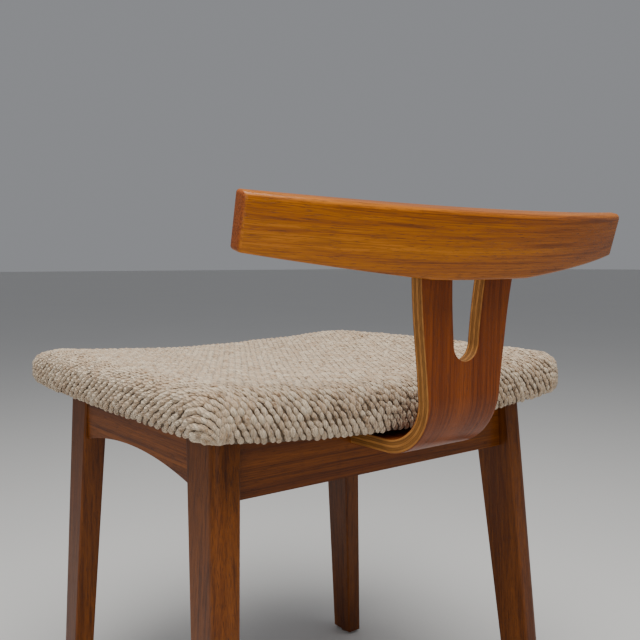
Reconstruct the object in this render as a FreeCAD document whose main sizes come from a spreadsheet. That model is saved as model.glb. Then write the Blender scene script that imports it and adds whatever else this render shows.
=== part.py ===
"""A low-backed dining chair: a splayed teak frame with an upholstered saddle seat, and a curved back rail
carried on one bent laminated splat.

Millimetres, +Z up, +X to the sitter's left, and the sitter faces -Y. The origin is on the floor under the
middle of the chair. Every driving size is in the sheet called Sizes, and the pieces are bound to it.
"""
import FreeCAD, Part
import math
import os
import re

import Sketcher
from FreeCAD import Placement, Rotation, Vector

doc = FreeCAD.newDocument("dining_chair")
sheet = doc.addObject("Spreadsheet::Sheet", "Sizes")

SIZES = {
    # heights of the frame
    "rail_height": 360,          # underside of the rear rail above the floor
    "leg_top": 420,              # top of all four legs
    "glide_height": 4,
    "glide_radius": 9,
    # legs
    "leg_outer": 213,            # outer face from the centre plane, at rail height
    "leg_width": 28,
    "foot_width": 22,
    "side_splay": 0.05,          # run per unit of drop
    "rear_splay": 0.08,
    "front_splay": 0.045,
    "rear_leg_back": 147.5,
    "rear_leg_depth": 54,
    "rear_foot_depth": 40,
    "front_leg_back": -162,
    "front_leg_depth": 52,
    "front_foot_depth": 38,
    "leg_round": 11,             # the rounded outer corner of each leg
    "leg_ease": 2.5,
    # rails
    "rail_thickness": 20,
    "rear_rail_back": 131.8,
    "front_rail_front": -206,
    "cross_rail_back": -2.5,
    "cross_rail_low": 383,
    "side_rail_outer": 208,
    "side_rail_top": 421,
    "arched_foot": 368,          # lowest point of the arched rails
    "side_arch_rise": 17,
    "front_arch_rise": 12,
    # dowels
    "dowel_radius": 5,
    "dowel_in_leg": 18,
    "dowel_in_rail": 24,
    "dowel_low": 381,
    "dowel_high": 404,
    "cross_dowel_low": 394,
    "cross_dowel_high": 410,
    # corner blocks
    "block_low": 386,
    "block_high": 416,
    # seat pad
    "pad_low": 412,              # underside of the seat at its middle
    "pad_depth": 47,
    "saddle_radius": 1930,       # radius of the underside across the chair
    "seat_half_width": 248,
    "side_bow_radius": 6000,
    "seat_rear": 190,
    "seat_front": -283.6,
    "end_bow_radius": 5000,
    "corner_radius": 30,
    "cover_thickness": 1.6,
    "shell_thickness": 9,
    "cover_turn_under": 34,
    # bent splat
    "splat_thickness": 14,
    "face_ply": 2.8,
    "splat_low": 395,            # underside of the level leg
    "splat_front": -28,
    "bend_centre_y": 185.5,
    "bend_radius": 60,
    "splat_slope": 0.014,        # lean of the upright, run per unit of rise
    "splat_bow_start": 515,
    "lower_bow_radius": 600,
    "splat_bow_change": 563,
    "upper_bow_radius": 300,
    "splat_top": 612,
    "splat_half_foot": 45,
    "splat_half_waist": 52.6,
    "splat_waist": 496,
    "splat_half_top": 68,
    "flare_radius": 1100,
    "notch_centre": 503,
    "notch_radius": 17,
    "notch_half_mouth": 28,
    # back rail, in its own leaning frame: X across, Y to the rear, Z up along the board
    "back_half_length": 243,
    "back_y": 249.7,
    "back_height": 630.5,
    "back_lean": 14.7,
    "back_bow": 36.2,
    "back_middle_thickness": 25,
    "back_end_thickness": 14,
    "back_middle_depth": 61.4,
    "back_end_depth": 46.5,
    "back_flat_half": 62,
    "back_end_draft": 1,
    "back_rear_round": 5,
    "back_front_round": 3,
}
for row, (alias, amount) in enumerate(SIZES.items(), start=1):
    sheet.set(f"A{row}", str(amount))
    sheet.setAlias(f"A{row}", alias)
doc.recompute()

NAME = re.compile("|".join(sorted(SIZES, key=len, reverse=True)))


def value(formula):
    """The present number of a formula that uses the sheet's names."""
    if isinstance(formula, (int, float)):
        return float(formula)
    total = doc.addObject("App::FeaturePython", "Scratch")
    total.addProperty("App::PropertyFloat", "Number")
    total.setExpression("Number", linked(formula))
    total.recompute()
    number = total.Number
    doc.removeObject(total.Name)
    return number


def linked(formula):
    """The same formula with each name pointing at its cell."""
    return NAME.sub(lambda found: "Sizes." + found.group(0), str(formula))


def bind(target, **formulas):
    """Bind properties to formulas, as in bind(box, Length="leg_width")."""
    for path, formula in formulas.items():
        target.setExpression(path.replace("__", "."), linked(formula))


def place(target, x=0, y=0, z=0):
    """Bind where an object stands."""
    for axis, formula in (("x", x), ("y", y), ("z", z)):
        target.setExpression(f"Placement.Base.{axis}", linked(formula))


# ---------------------------------------------------------------- sketches and primitives

def origin_plane(body, role):
    return next(item for item in body.Origin.OriginFeatures if item.Role == role)


def new_body(name):
    body = doc.addObject("PartDesign::Body", name)
    body.Label = name
    return body


def new_sketch(body, name, role, offset=0):
    """A sketch on one of the body's own planes, moved along that plane's normal by a formula."""
    sketch = body.newObject("Sketcher::SketchObject", name)
    sketch.AttachmentSupport = (origin_plane(body, role), [""])
    sketch.MapMode = "FlatFace"
    sketch.setExpression("AttachmentOffset.Base.z", linked(offset))
    return sketch


def arc_between(start, end, radius, side):
    """The shorter arc between two points; side 1 bulges to the left of the way, -1 to the right.

    A sketch's arcs run anticlockwise, so one that bulges to the left is made from end to start.
    """
    if side > 0:
        start, end = end, start
    half = (end - start) / 2
    left = Vector(-half.y, half.x, 0).normalize()
    centre = start + half + left * math.sqrt(radius * radius - half.Length ** 2)
    first = math.atan2(start.y - centre.y, start.x - centre.x)
    last = math.atan2(end.y - centre.y, end.x - centre.x)
    if last < first:
        last += 2 * math.pi
    return Part.ArcOfCircle(Part.Circle(centre, Vector(0, 0, 1), radius), first, last)


def add_loop(sketch, corners, arcs=()):
    """A closed outline through corners given as formulas.

    arcs maps the number of a side to (radius formula, side), and the other sides are straight.
    """
    arcs = dict(arcs)
    points = [Vector(value(x), value(y), 0) for x, y in corners]
    starts, ends = [], []
    for index, start in enumerate(points):
        end = points[(index + 1) % len(points)]
        if index in arcs:
            formula, side = arcs[index]
            curve = arc_between(start, end, value(formula), side)
            forward = side < 0
        else:
            curve = Part.LineSegment(start, end)
            forward = True
        number = sketch.addGeometry(curve, False)
        starts.append((number, 1 if forward else 2))
        ends.append((number, 2 if forward else 1))
    for index in range(len(points)):
        sketch.addConstraint(Sketcher.Constraint("Coincident", *ends[index - 1], *starts[index]))
    for index, (x, y) in enumerate(corners):
        for kind, axis, formula, amount in (("DistanceX", -2, x, points[index].x),
                                            ("DistanceY", -1, y, points[index].y)):
            if abs(amount) < 1e-9:
                sketch.addConstraint(Sketcher.Constraint("PointOnObject", *starts[index], axis))
                continue
            number = sketch.addConstraint(Sketcher.Constraint(kind, -1, 1, *starts[index], amount))
            sketch.setExpression(f"Constraints[{number}]", linked(formula))
    for index, (formula, _) in arcs.items():
        number = sketch.addConstraint(Sketcher.Constraint("Radius", starts[index][0], value(formula)))
        sketch.setExpression(f"Constraints[{number}]", linked(formula))


def pad(body, sketch, length):
    feature = body.newObject("PartDesign::Pad", sketch.Name + "Pad")
    feature.Profile = sketch
    bind(feature, Length=length)
    doc.recompute()
    return feature


def cut_through(body, sketch):
    """Pocket the sketch through the body both ways, and make sure that it cut something."""
    before = body.Shape.Volume
    feature = body.newObject("PartDesign::Pocket", sketch.Name + "Pocket")
    feature.Profile = sketch
    feature.Type = "ThroughAll"
    feature.SideType = "Symmetric"
    doc.recompute()
    if body.Shape.Volume > before - 1:
        raise RuntimeError(f"{feature.Name} cut nothing")
    return feature


def round_edges(body, name, radius, wanted):
    """Fillet every edge of the body's tip for which wanted(shape, edge) is true."""
    tip = body.Tip
    names = [f"Edge{index}" for index, edge in enumerate(tip.Shape.Edges, start=1)
             if wanted(tip.Shape, edge)]
    if not names:
        raise RuntimeError(f"{name} found no edge")
    feature = body.newObject("PartDesign::Fillet", name)
    feature.Base = (tip, names)
    bind(feature, Radius=radius)
    doc.recompute()
    return feature


def cylinder(name, radius, height, turn=None):
    """A cylinder whose axis is Z, or turned by a Rotation."""
    piece = doc.addObject("Part::Cylinder", name)
    bind(piece, Radius=radius, Height=height)
    if turn is not None:
        piece.Placement = Placement(Vector(), turn)
    return piece


def group(name, members):
    piece = doc.addObject("Part::Compound", name)
    piece.Links = members
    piece.Label = name
    return piece


def cut_from(name, base, tool):
    piece = doc.addObject("Part::Cut", name)
    piece.Base = base
    piece.Tool = tool
    return piece


def mirrored(name, source):
    piece = doc.addObject("Part::Mirroring", name)
    piece.Source = source
    piece.Normal = Vector(1, 0, 0)
    piece.Label = name
    return piece


ALONG_X = Rotation(Vector(0, 1, 0), 90)
ALONG_Y = Rotation(Vector(1, 0, 0), -90)
AGAINST_Y = Rotation(Vector(1, 0, 0), 90)
UPWARD = Rotation()
DOWNWARD = Rotation(Vector(1, 0, 0), 180)


# ---------------------------------------------------------------- legs

def drop(height):
    """How far a height lies below the underside of the rails, as a formula."""
    return f"(rail_height - ({height}))"


def rounded_section(sketch, outer, rear, width, depth, rounds):
    """A rectangle with its outer side and its rear side given; rounds are its four corner radii.

    They start at the outer rear corner and go round by the inner rear one.
    """
    inner, front = f"({outer} - {width})", f"({rear} - {depth})"
    outer, rear = f"({outer})", f"({rear})"
    first, second, third, fourth = rounds
    corners = [(outer, f"{rear} - {first}"), (f"{outer} - {first}", rear),
               (f"{inner} + {second}", rear), (inner, f"{rear} - {second}"),
               (inner, f"{front} + {third}"), (f"{inner} + {third}", front),
               (f"{outer} - {fourth}", front), (outer, f"{front} + {fourth}")]
    add_loop(sketch, corners, {2 * index: (radius, -1) for index, radius in enumerate(rounds)})


def leg_blank(name, back, splay, top_depth, foot_depth, rounds):
    """A tapered, splayed leg on the left of the chair; back and splay place its rear face."""
    body = new_body(name)
    for level, height, width, depth in (("Foot", "glide_height", "foot_width", foot_depth),
                                        ("Top", "leg_top", "leg_width", top_depth)):
        sketch = new_sketch(body, name + level, "XY_Plane", height)
        rounded_section(sketch, f"leg_outer + side_splay * {drop(height)}",
                        f"{back} + {splay} * {drop(height)}", width, depth, rounds)
    loft = body.newObject("PartDesign::AdditiveLoft", name + "Loft")
    loft.Profile = doc.getObject(name + "Foot")
    loft.Sections = [doc.getObject(name + "Top")]
    loft.Ruled = True
    doc.recompute()
    return body


rear_leg = leg_blank("RearLegBlank", "rear_leg_back", "rear_splay", "rear_leg_depth", "rear_foot_depth",
                     ("leg_round", "leg_ease", "leg_ease", "leg_ease"))
front_leg = leg_blank("FrontLegBlank", "front_leg_back", "-front_splay", "front_leg_depth",
                      "front_foot_depth", ("leg_ease", "leg_ease", "leg_ease", "leg_round"))
legs_left = group("LegsLeft", [rear_leg, front_leg])
legs_right = mirrored("LegsRight", legs_left)
all_legs = group("AllLegs", [legs_left, legs_right])
doc.recompute()


# ---------------------------------------------------------------- rails

def end_rail(name, rear_face, low, rise=None):
    """A rail across the chair whose top follows the saddle of the seat."""
    body = new_body(name)
    reach = "(leg_outer - leg_width + 6)"
    saddle_top = f"pad_low + saddle_radius - sqrt(saddle_radius ^ 2 - {reach} ^ 2)"
    sketch = new_sketch(body, name + "Face", "XZ_Plane", f"-({rear_face})")
    corners = [(f"-{reach}", low), (reach, low), (reach, saddle_top), (f"-{reach}", saddle_top)]
    arcs = {2: ("saddle_radius", 1)}
    if rise:
        arcs[0] = (f"({reach} ^ 2 + {rise} ^ 2) / (2 * {rise})", 1)
    add_loop(sketch, corners, arcs)
    pad(body, sketch, "rail_thickness")
    return body


rear_rail = end_rail("RearRailBlank", "rear_rail_back", "rail_height")
front_rail = end_rail("FrontRailBlank", "front_rail_front + rail_thickness", "arched_foot", "front_arch_rise")

cross_rail = new_body("CrossRailBlank")
cross_reach = "(side_rail_outer - rail_thickness)"
cross_top = f"pad_low + saddle_radius - sqrt(saddle_radius ^ 2 - {cross_reach} ^ 2)"
cross_face = new_sketch(cross_rail, "CrossRailFace", "XZ_Plane", "-(cross_rail_back)")
add_loop(cross_face, [(f"-{cross_reach}", "cross_rail_low"), (cross_reach, "cross_rail_low"),
                      (cross_reach, cross_top), (f"-{cross_reach}", cross_top)], {2: ("saddle_radius", 1)})
pad(cross_rail, cross_face, "rail_thickness")

side_rail = new_body("SideRailBlank")
side_front, side_rear = "(front_leg_back - 8)", "(rear_leg_back - rear_leg_depth + 12)"
half_span = f"(({side_rear} - {side_front}) / 2)"
side_face = new_sketch(side_rail, "SideRailFace", "YZ_Plane", "side_rail_outer - rail_thickness")
add_loop(side_face, [(side_front, "arched_foot"), (side_rear, "arched_foot"),
                     (side_rear, "side_rail_top"), (side_front, "side_rail_top")],
         {0: (f"({half_span} ^ 2 + side_arch_rise ^ 2) / (2 * side_arch_rise)", 1)})
pad(side_rail, side_face, "rail_thickness")


# ---------------------------------------------------------------- dowels

def dowel(name, turn, x, y, z, length):
    piece = cylinder(name, "dowel_radius", length, turn)
    place(piece, x, y, z)
    return piece


leg_inner = "(leg_outer - leg_width)"
side_middle = "(side_rail_outer - rail_thickness / 2)"
rear_middle = "(rear_rail_back - rail_thickness / 2)"
front_middle = "(front_rail_front + rail_thickness / 2)"
cross_middle = "(cross_rail_back - rail_thickness / 2)"
dowels_left = []
for level in ("low", "high"):
    height = f"dowel_{level}"
    rail_to_leg = (f"{leg_inner} - dowel_in_rail", "dowel_in_rail + dowel_in_leg")
    for place_name, y in (("Rear", rear_middle), ("Front", front_middle)):
        dowels_left.append(dowel(f"{place_name}Dowel_{level}", ALONG_X, rail_to_leg[0], y, height,
                                 rail_to_leg[1]))
    dowels_left.append(dowel(f"CrossDowel_{level}", ALONG_X, f"{cross_reach} - dowel_in_rail", cross_middle,
                             f"cross_{height}", "dowel_in_rail + 12"))
    dowels_left.append(dowel(f"SideRearDowel_{level}", ALONG_Y, side_middle,
                             "rear_leg_back - rear_leg_depth - dowel_in_rail", f"{height} + 3",
                             "dowel_in_rail + 16"))
    dowels_left.append(dowel(f"SideFrontDowel_{level}", ALONG_Y, side_middle,
                             "front_leg_back - 16", f"{height} + 3", "dowel_in_rail + 16"))
dowel_group_left = group("DowelsLeft", dowels_left)
dowel_group_right = mirrored("DowelsRight", dowel_group_left)
rail_dowels = group("rail_dowels", [dowel_group_left, dowel_group_right])
doc.recompute()


# ---------------------------------------------------------------- bent splat

def splat_path(body, name):
    """The line of the splat's rear face: level, round the bend, up, then bowed back."""
    sketch = new_sketch(body, name, "YZ_Plane")
    bend = Vector(value("bend_centre_y"), value("splat_low + bend_radius"), 0)
    radius, slope = value("bend_radius"), value("splat_slope")
    lean = math.atan(slope)
    out = Vector(math.cos(lean), -math.sin(lean), 0)
    bend_end = bend + out * radius
    rise = value("splat_bow_start") - bend_end.y
    bow_start = bend_end + Vector(rise * slope, rise, 0)

    def bowed(start, start_lean, bow_radius, top):
        """The arc that leans further back, up to the height top."""
        centre = start + Vector(math.cos(start_lean), -math.sin(start_lean), 0) * bow_radius
        end_lean = math.asin((top - centre.y) / bow_radius)
        end = centre + Vector(-math.cos(end_lean), math.sin(end_lean), 0) * bow_radius
        return arc_between(start, end, bow_radius, 1), end, end_lean

    lower, change, change_lean = bowed(bow_start, lean, value("lower_bow_radius"), value("splat_bow_change"))
    upper, _, _ = bowed(change, change_lean, value("upper_bow_radius"), value("splat_top"))
    level_start = Vector(value("splat_front"), value("splat_low"), 0)
    level_end = Vector(bend.x, value("splat_low"), 0)
    sketch.addGeometry([Part.LineSegment(level_start, level_end),
                        arc_between(level_end, bend_end, radius, -1),
                        Part.LineSegment(bend_end, bow_start), lower, upper], False)
    first, last = 1, 2
    joints = [(0, last, 1, first), (1, last, 2, first), (2, last, 3, last), (3, first, 4, last)]
    for joint in joints:
        sketch.addConstraint(Sketcher.Constraint("Tangent", *joint))
    sketch.addConstraint(Sketcher.Constraint("Horizontal", 0))
    bound = [(("DistanceX", -1, 1, 0, first, level_start.x), "splat_front"),
             (("DistanceY", -1, 1, 0, first, level_start.y), "splat_low"),
             (("DistanceX", -1, 1, 0, last, level_end.x), "bend_centre_y"),
             (("Radius", 1, radius), "bend_radius"),
             (("DistanceY", -1, 1, 2, last, bow_start.y), "splat_bow_start"),
             (("Radius", 3, value("lower_bow_radius")), "lower_bow_radius"),
             (("DistanceY", -1, 1, 3, first, change.y), "splat_bow_change"),
             (("Radius", 4, value("upper_bow_radius")), "upper_bow_radius"),
             (("DistanceY", -1, 1, 4, first, value("splat_top")), "splat_top")]
    for constraint, formula in bound:
        number = sketch.addConstraint(Sketcher.Constraint(*constraint))
        sketch.setExpression(f"Constraints[{number}]", linked(formula))
    return sketch


def splat_layer(name, depth_from, depth_to):
    """One layer of the laminate between two depths from its rear and lower face."""
    body = new_body(name)
    path = splat_path(body, name + "Path")
    section = new_sketch(body, name + "Section", "XZ_Plane", "-(splat_front)")
    add_loop(section, [("-splat_half_top - 6", f"splat_low + {depth_from}"),
                       ("splat_half_top + 6", f"splat_low + {depth_from}"),
                       ("splat_half_top + 6", f"splat_low + {depth_to}"),
                       ("-splat_half_top - 6", f"splat_low + {depth_to}")])
    pipe = body.newObject("PartDesign::AdditivePipe", name + "Sweep")
    pipe.Profile = section
    pipe.Spine = (path, [f"Edge{number}" for number in range(1, 6)])
    doc.recompute()
    outline = new_sketch(body, name + "Outline", "XZ_Plane")
    below, above = "splat_low - 12", "splat_top + 12"
    for sign, arc_side in (("", -1), ("-", 1)):
        add_loop(outline, [(f"{sign}splat_half_foot", below), (f"{sign}splat_half_foot", "splat_low + 20"),
                           (f"{sign}splat_half_waist", "splat_waist"), (f"{sign}splat_half_top", above),
                           (f"{sign}(splat_half_top + 20)", above), (f"{sign}(splat_half_top + 20)", below)],
                 {1: ("flare_radius", arc_side)})
    add_loop(outline, [("-notch_radius", "notch_centre"), ("notch_radius", "notch_centre"),
                       ("notch_half_mouth", above), ("-notch_half_mouth", above)],
             {0: ("notch_radius * 1.0001", -1)})
    cut_through(body, outline)
    return body


splat_layers = {
    "splat_rear_ply": splat_layer("SplatRearPlyBlank", "0", "face_ply"),
    "splat_core": splat_layer("SplatCoreBlank", "face_ply", "splat_thickness - face_ply"),
    "splat_front_ply": splat_layer("SplatFrontPlyBlank", "splat_thickness - face_ply", "splat_thickness"),
}
splat_blank = doc.addObject("Part::MultiFuse", "SplatBlank")
splat_blank.Shapes = list(splat_layers.values())
splat_blank.Refine = True
doc.recompute()


# ---------------------------------------------------------------- back rail

back_body = new_body("BackRailBlank")
plan = new_sketch(back_body, "BackPlan", "XY_Plane")
rear_bow = "(back_half_length ^ 2 + back_bow ^ 2) / (2 * back_bow)"
front_bow_rise = "(back_bow - back_middle_thickness + back_end_thickness)"
front_bow = f"(back_half_length ^ 2 + {front_bow_rise} ^ 2) / (2 * {front_bow_rise})"
add_loop(plan, [("back_half_length", 0), ("-back_half_length", 0),
                ("-back_half_length", "-back_end_thickness"), ("back_half_length", "-back_end_thickness")],
         {0: (rear_bow, -1), 2: (front_bow, 1)})
board = pad(back_body, plan, "back_middle_depth")
board.Reversed = True
doc.recompute()
ends = new_sketch(back_body, "BackEnds", "XZ_Plane")
for sign in ("", "-"):
    tip_x = f"{sign}(back_half_length - back_end_draft)"
    far_x = f"{sign}(back_half_length + 20)"
    add_loop(ends, [(f"{sign}back_flat_half", "-back_middle_depth"), (tip_x, "-back_end_depth"),
                    (f"{sign}back_half_length", 0), (far_x, 0), (far_x, "-back_middle_depth - 10"),
                    (f"{sign}back_flat_half", "-back_middle_depth - 10")])
cut_through(back_body, ends)


def along_top_rear(_, edge):
    middle = edge.valueAt((edge.FirstParameter + edge.LastParameter) / 2)
    return edge.Length > 300 and abs(middle.z) < 0.01 and middle.y > value("back_bow") - 1


def along_top_front(_, edge):
    middle = edge.valueAt((edge.FirstParameter + edge.LastParameter) / 2)
    return edge.Length > 300 and middle.z > -1 and middle.y < value("back_bow") - 5


round_edges(back_body, "BackRearRound", "back_rear_round", along_top_rear)
round_edges(back_body, "BackFrontRound", "back_front_round", along_top_front)
back_body.Placement = Placement(Vector(0, value("back_y"), value("back_height")),
                                Rotation(Vector(1, 0, 0), -value("back_lean")))
back_body.setExpression("Placement.Base.y", linked("back_y"))
back_body.setExpression("Placement.Base.z", linked("back_height"))
doc.recompute()


# ---------------------------------------------------------------- screws and plugs

SCREW = {"wood": (2.0, 4.4, 2.6), "splat": (2.2, 4.8, 3.0)}  # shank radius, head radius, head height
POINT_LENGTH, POINT_TIP = 4, 0.3
SIDE_SCREW_FROM_RAIL, SIDE_SCREW_FROM_SIDE, SIDE_SCREW_LENGTH = 50, 15, 29
RAIL_SCREW_FROM_RAIL, RAIL_SCREW_FROM_SIDE, RAIL_SCREW_LENGTH = 17, 36, 30
SPLAT_SCREW_X, REAR_SPLAT_SCREW_LENGTH, CROSS_SPLAT_SCREW_LENGTH = 25, 38, 24
BACK_SCREW_X, BACK_SCREW_LENGTH, BACK_SCREW_TILT = 42, 23, 10
LOW_SCREW_RISE, HIGH_SCREW_DROP = 16, 12     # above the change of bow, below the splat's top
FRONT_FACE_RUN, FRONT_FACE_LEAN = 4.2, 0.16  # the splat's front face behind the bend's, then per unit of rise
PLUG_DEPTH, PLUG_RADIUS, PLUG_SPARE = 3, 5, 3


def screw(name, kind, turn, x, y, z, length):
    """A countersunk screw whose head's flat face lies at the given point and whose tip points along Z."""
    shank_radius, head_radius, head_height = SCREW[kind]
    head = doc.addObject("Part::Cone", name + "Head")
    head.Radius1, head.Radius2, head.Height = head_radius, shank_radius, head_height
    shank = doc.addObject("Part::Cylinder", name + "Shank")
    shank.Radius, shank.Height = shank_radius, length - POINT_LENGTH
    point = doc.addObject("Part::Cone", name + "Point")
    point.Radius1, point.Radius2, point.Height = shank_radius, POINT_TIP, POINT_LENGTH
    point.Placement = Placement(Vector(0, 0, length - POINT_LENGTH), Rotation())
    whole = doc.addObject("Part::MultiFuse", name)
    whole.Shapes = [head, shank, point]
    whole.Placement = Placement(Vector(value(x), value(y), value(z)), turn)
    return whole


block_middle = (value("block_low") + value("block_high")) / 2
block_screws = []
for sign, side in ((1, "left"), (-1, "right")):
    toward_side = Rotation(Vector(0, 1, 0), 90 * sign)
    inner = value(cross_reach)
    for end, rail_face, toward_rail in (
            ("rear", value("rear_rail_back - rail_thickness"), ALONG_Y),
            ("front", value("front_rail_front + rail_thickness"), AGAINST_Y)):
        back = 1 if end == "rear" else -1
        block_screws.append(screw(f"BlockSideScrew_{end}_{side}", "wood", toward_side,
                                  sign * (inner - SIDE_SCREW_FROM_SIDE),
                                  rail_face - back * SIDE_SCREW_FROM_RAIL, block_middle, SIDE_SCREW_LENGTH))
        block_screws.append(screw(f"BlockRailScrew_{end}_{side}", "wood", toward_rail,
                                  sign * (inner - RAIL_SCREW_FROM_SIDE),
                                  rail_face - back * RAIL_SCREW_FROM_RAIL, block_middle, RAIL_SCREW_LENGTH))
corner_block_screws = group("corner_block_screws", block_screws)

splat_floor_screws = []
for sign, side in ((1, "left"), (-1, "right")):
    for rail_name, y, length in (("rear", rear_middle, REAR_SPLAT_SCREW_LENGTH),
                                 ("cross", cross_middle, CROSS_SPLAT_SCREW_LENGTH)):
        splat_floor_screws.append(screw(f"SplatScrew_{rail_name}_{side}", "splat", DOWNWARD,
                                        sign * SPLAT_SCREW_X, y, "splat_low + splat_thickness", length))
splat_rail_screws = group("splat_rail_screws", splat_floor_screws)

lean_back = Rotation(Vector(1, 0, 0), -90 - BACK_SCREW_TILT)
back_screws, back_plugs = [], []
for sign, side in ((1, "left"), (-1, "right")):
    for level, height in (("low", value("splat_bow_change") + LOW_SCREW_RISE),
                          ("high", value("splat_top") - HIGH_SCREW_DROP)):
        start = Vector(sign * BACK_SCREW_X, 0, height)
        rise = height - value("splat_bow_change")
        start.y = (value("bend_centre_y + bend_radius - splat_thickness") + FRONT_FACE_RUN
                   + rise * FRONT_FACE_LEAN)
        along = lean_back.multVec(Vector(0, 0, 1))
        seat_point = start + along * PLUG_DEPTH
        back_screws.append(screw(f"BackScrew_{level}_{side}", "wood", lean_back, seat_point.x, seat_point.y,
                                 seat_point.z, BACK_SCREW_LENGTH))
        plug = doc.addObject("Part::Cylinder", f"BackPlug_{level}_{side}")
        plug.Radius, plug.Height = PLUG_RADIUS, PLUG_DEPTH + PLUG_SPARE
        plug.Placement = Placement(start - along * PLUG_SPARE, lean_back)
        back_plugs.append(plug)
back_rail_screws = group("back_rail_screws", back_screws)
plug_blanks = group("PlugBlanks", back_plugs)
doc.recompute()


# ---------------------------------------------------------------- corner blocks

BLOCK_FROM_LEG, BLOCK_ALONG_SIDE = 14, 74
BLOCK_ALONG_RAIL, BLOCK_FROM_SIDE = 56, 18


def corner_block(name, leg_side_y, rail_face, back):
    """A glued block across the inside corner; back is 1 at the rear and -1 at the front."""
    body = new_body(name)
    sketch = new_sketch(body, name + "Plan", "XY_Plane", "block_low")
    add_loop(sketch, [(cross_reach, f"{leg_side_y} - ({back} * {BLOCK_FROM_LEG})"),
                      (cross_reach, f"{rail_face} - ({back} * {BLOCK_ALONG_SIDE})"),
                      (f"{cross_reach} - {BLOCK_ALONG_RAIL}", rail_face),
                      (f"{cross_reach} - {BLOCK_FROM_SIDE}", rail_face)])
    pad(body, sketch, "block_high - block_low")
    return body


rear_block = corner_block("RearBlockBlank", "(rear_leg_back - rear_leg_depth)",
                          "(rear_rail_back - rail_thickness)", 1)
front_block = corner_block("FrontBlockBlank", "front_leg_back", "(front_rail_front + rail_thickness)", -1)
doc.recompute()


# ---------------------------------------------------------------- seat pad

def pad_blank(name, inset, low, high, corner, top_round, foot_round):
    """The pad's outline pulled in by inset, between two heights above the underside at the middle.

    The sides and ends are bowed, and the top and the underside are rolled about one level axis.
    """
    length = 800
    sides = []
    for sign in (1, -1):
        hand = "Left" if sign > 0 else "Right"
        side = cylinder(f"{name}Side{hand}", f"side_bow_radius - ({inset})", length)
        place(side, f"{sign} * (seat_half_width - side_bow_radius)", 0, 0)
        sides.append(side)
    rear = cylinder(name + "Rear", f"end_bow_radius - ({inset})", length)
    place(rear, 0, "seat_rear - end_bow_radius", 0)
    front = cylinder(name + "Front", f"end_bow_radius - ({inset})", length)
    place(front, 0, "seat_front + end_bow_radius", 0)
    roll = cylinder(name + "Roll", f"saddle_radius - ({low})", length, ALONG_Y)
    place(roll, 0, -length / 2, "pad_low + saddle_radius")
    crown = cylinder(name + "Crown", f"saddle_radius - ({high})", length, ALONG_Y)
    place(crown, 0, -length / 2, "pad_low + saddle_radius")
    whole = doc.addObject("Part::MultiCommon", name + "Common")
    whole.Shapes = sides + [rear, front, roll]
    slab = cut_from(name + "Slab", whole, crown)
    doc.recompute()
    if not corner:
        return slab
    upright = [(number, value(corner), value(corner))
               for number, edge in enumerate(slab.Shape.Edges, start=1)
               if abs(edge.Vertexes[0].Z - edge.Vertexes[-1].Z) > 0.6 * (value(high) - value(low))
               and edge.Length < 1.2 * (value(high) - value(low))]
    rounded = doc.addObject("Part::Fillet", name + "Corners")
    rounded.Base = slab
    rounded.Edges = upright
    doc.recompute()
    if not top_round:
        return rounded
    eased = doc.addObject("Part::Fillet", name)
    eased.Base = rounded
    axis_height = value("pad_low + saddle_radius")
    edges = []
    for number, edge in enumerate(rounded.Shape.Edges, start=1):
        middle = edge.valueAt((edge.FirstParameter + edge.LastParameter) / 2)
        reach = math.hypot(middle.x, middle.z - axis_height)
        if abs(reach - value(f"saddle_radius - ({high})")) < 0.05:
            edges.append((number, top_round, top_round))
        elif abs(reach - value(f"saddle_radius - ({low})")) < 0.05:
            edges.append((number, foot_round, foot_round))
    eased.Edges = edges
    doc.recompute()
    return eased


TOP_ROUND, FOOT_ROUND, GAP = 20, 14, 0.2
cover_blank = pad_blank("CoverBlank", 0, "0", "pad_depth", "corner_radius", TOP_ROUND, FOOT_ROUND)
cavity = pad_blank("CoverCavity", "cover_thickness", "cover_thickness", "pad_depth - cover_thickness",
                   "corner_radius - cover_thickness", TOP_ROUND - 1.6, FOOT_ROUND - 1.6)
filling = pad_blank("FillingBlank", f"(cover_thickness + {GAP})", f"cover_thickness + {GAP}",
                    f"pad_depth - cover_thickness - {GAP}", f"corner_radius - cover_thickness - {GAP}",
                    TOP_ROUND - 1.8, FOOT_ROUND - 1.8)
shell_blank = pad_blank("ShellBlank", 13, f"cover_thickness + {GAP}", "cover_thickness + shell_thickness",
                        "corner_radius - 13", 0, 0)
shell_space = pad_blank("ShellSpace", 13, "-2", "cover_thickness + shell_thickness",
                        "corner_radius - 13", 0, 0)
cover_mouth = pad_blank("CoverMouth", "cover_turn_under", "-4", "cover_thickness + 3", 0, 0, 0)
cloth_blank = pad_blank("ClothBlank", "(cover_turn_under + 1)", "0.5", "1.5", 0, 0, 0)

seat_cover_hollow = cut_from("CoverHollow", cover_blank, cavity)
seat_cover = cut_from("seat_cover", seat_cover_hollow, cover_mouth)
seat_foam = cut_from("seat_foam", filling, shell_space)
doc.recompute()


def staple(name, x, y, along_y):
    """A staple pushed up through the cloth: a crown and two legs."""
    rise = value("pad_low + saddle_radius") - math.sqrt(value("saddle_radius") ** 2 - x * x)
    crown_length, wire, leg, sunk = 10.0, 0.8, 6.0, 0.5
    pieces = [Part.makeBox(crown_length, wire, wire, Vector(-crown_length / 2, -wire / 2, -wire))]
    for end in (-crown_length / 2, crown_length / 2 - wire):
        pieces.append(Part.makeBox(wire, wire, leg, Vector(end, -wire / 2, -wire / 2)))
    shape = pieces[0].multiFuse(pieces[1:]).removeSplitter()
    tilt = math.degrees(math.asin(x / value("saddle_radius")))
    turn = Rotation(Vector(0, 1, 0), -tilt) * Rotation(Vector(0, 0, 1), 90 if along_y else 0)
    shape.Placement = Placement(Vector(x, y, rise + sunk), turn)
    return shape


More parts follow.
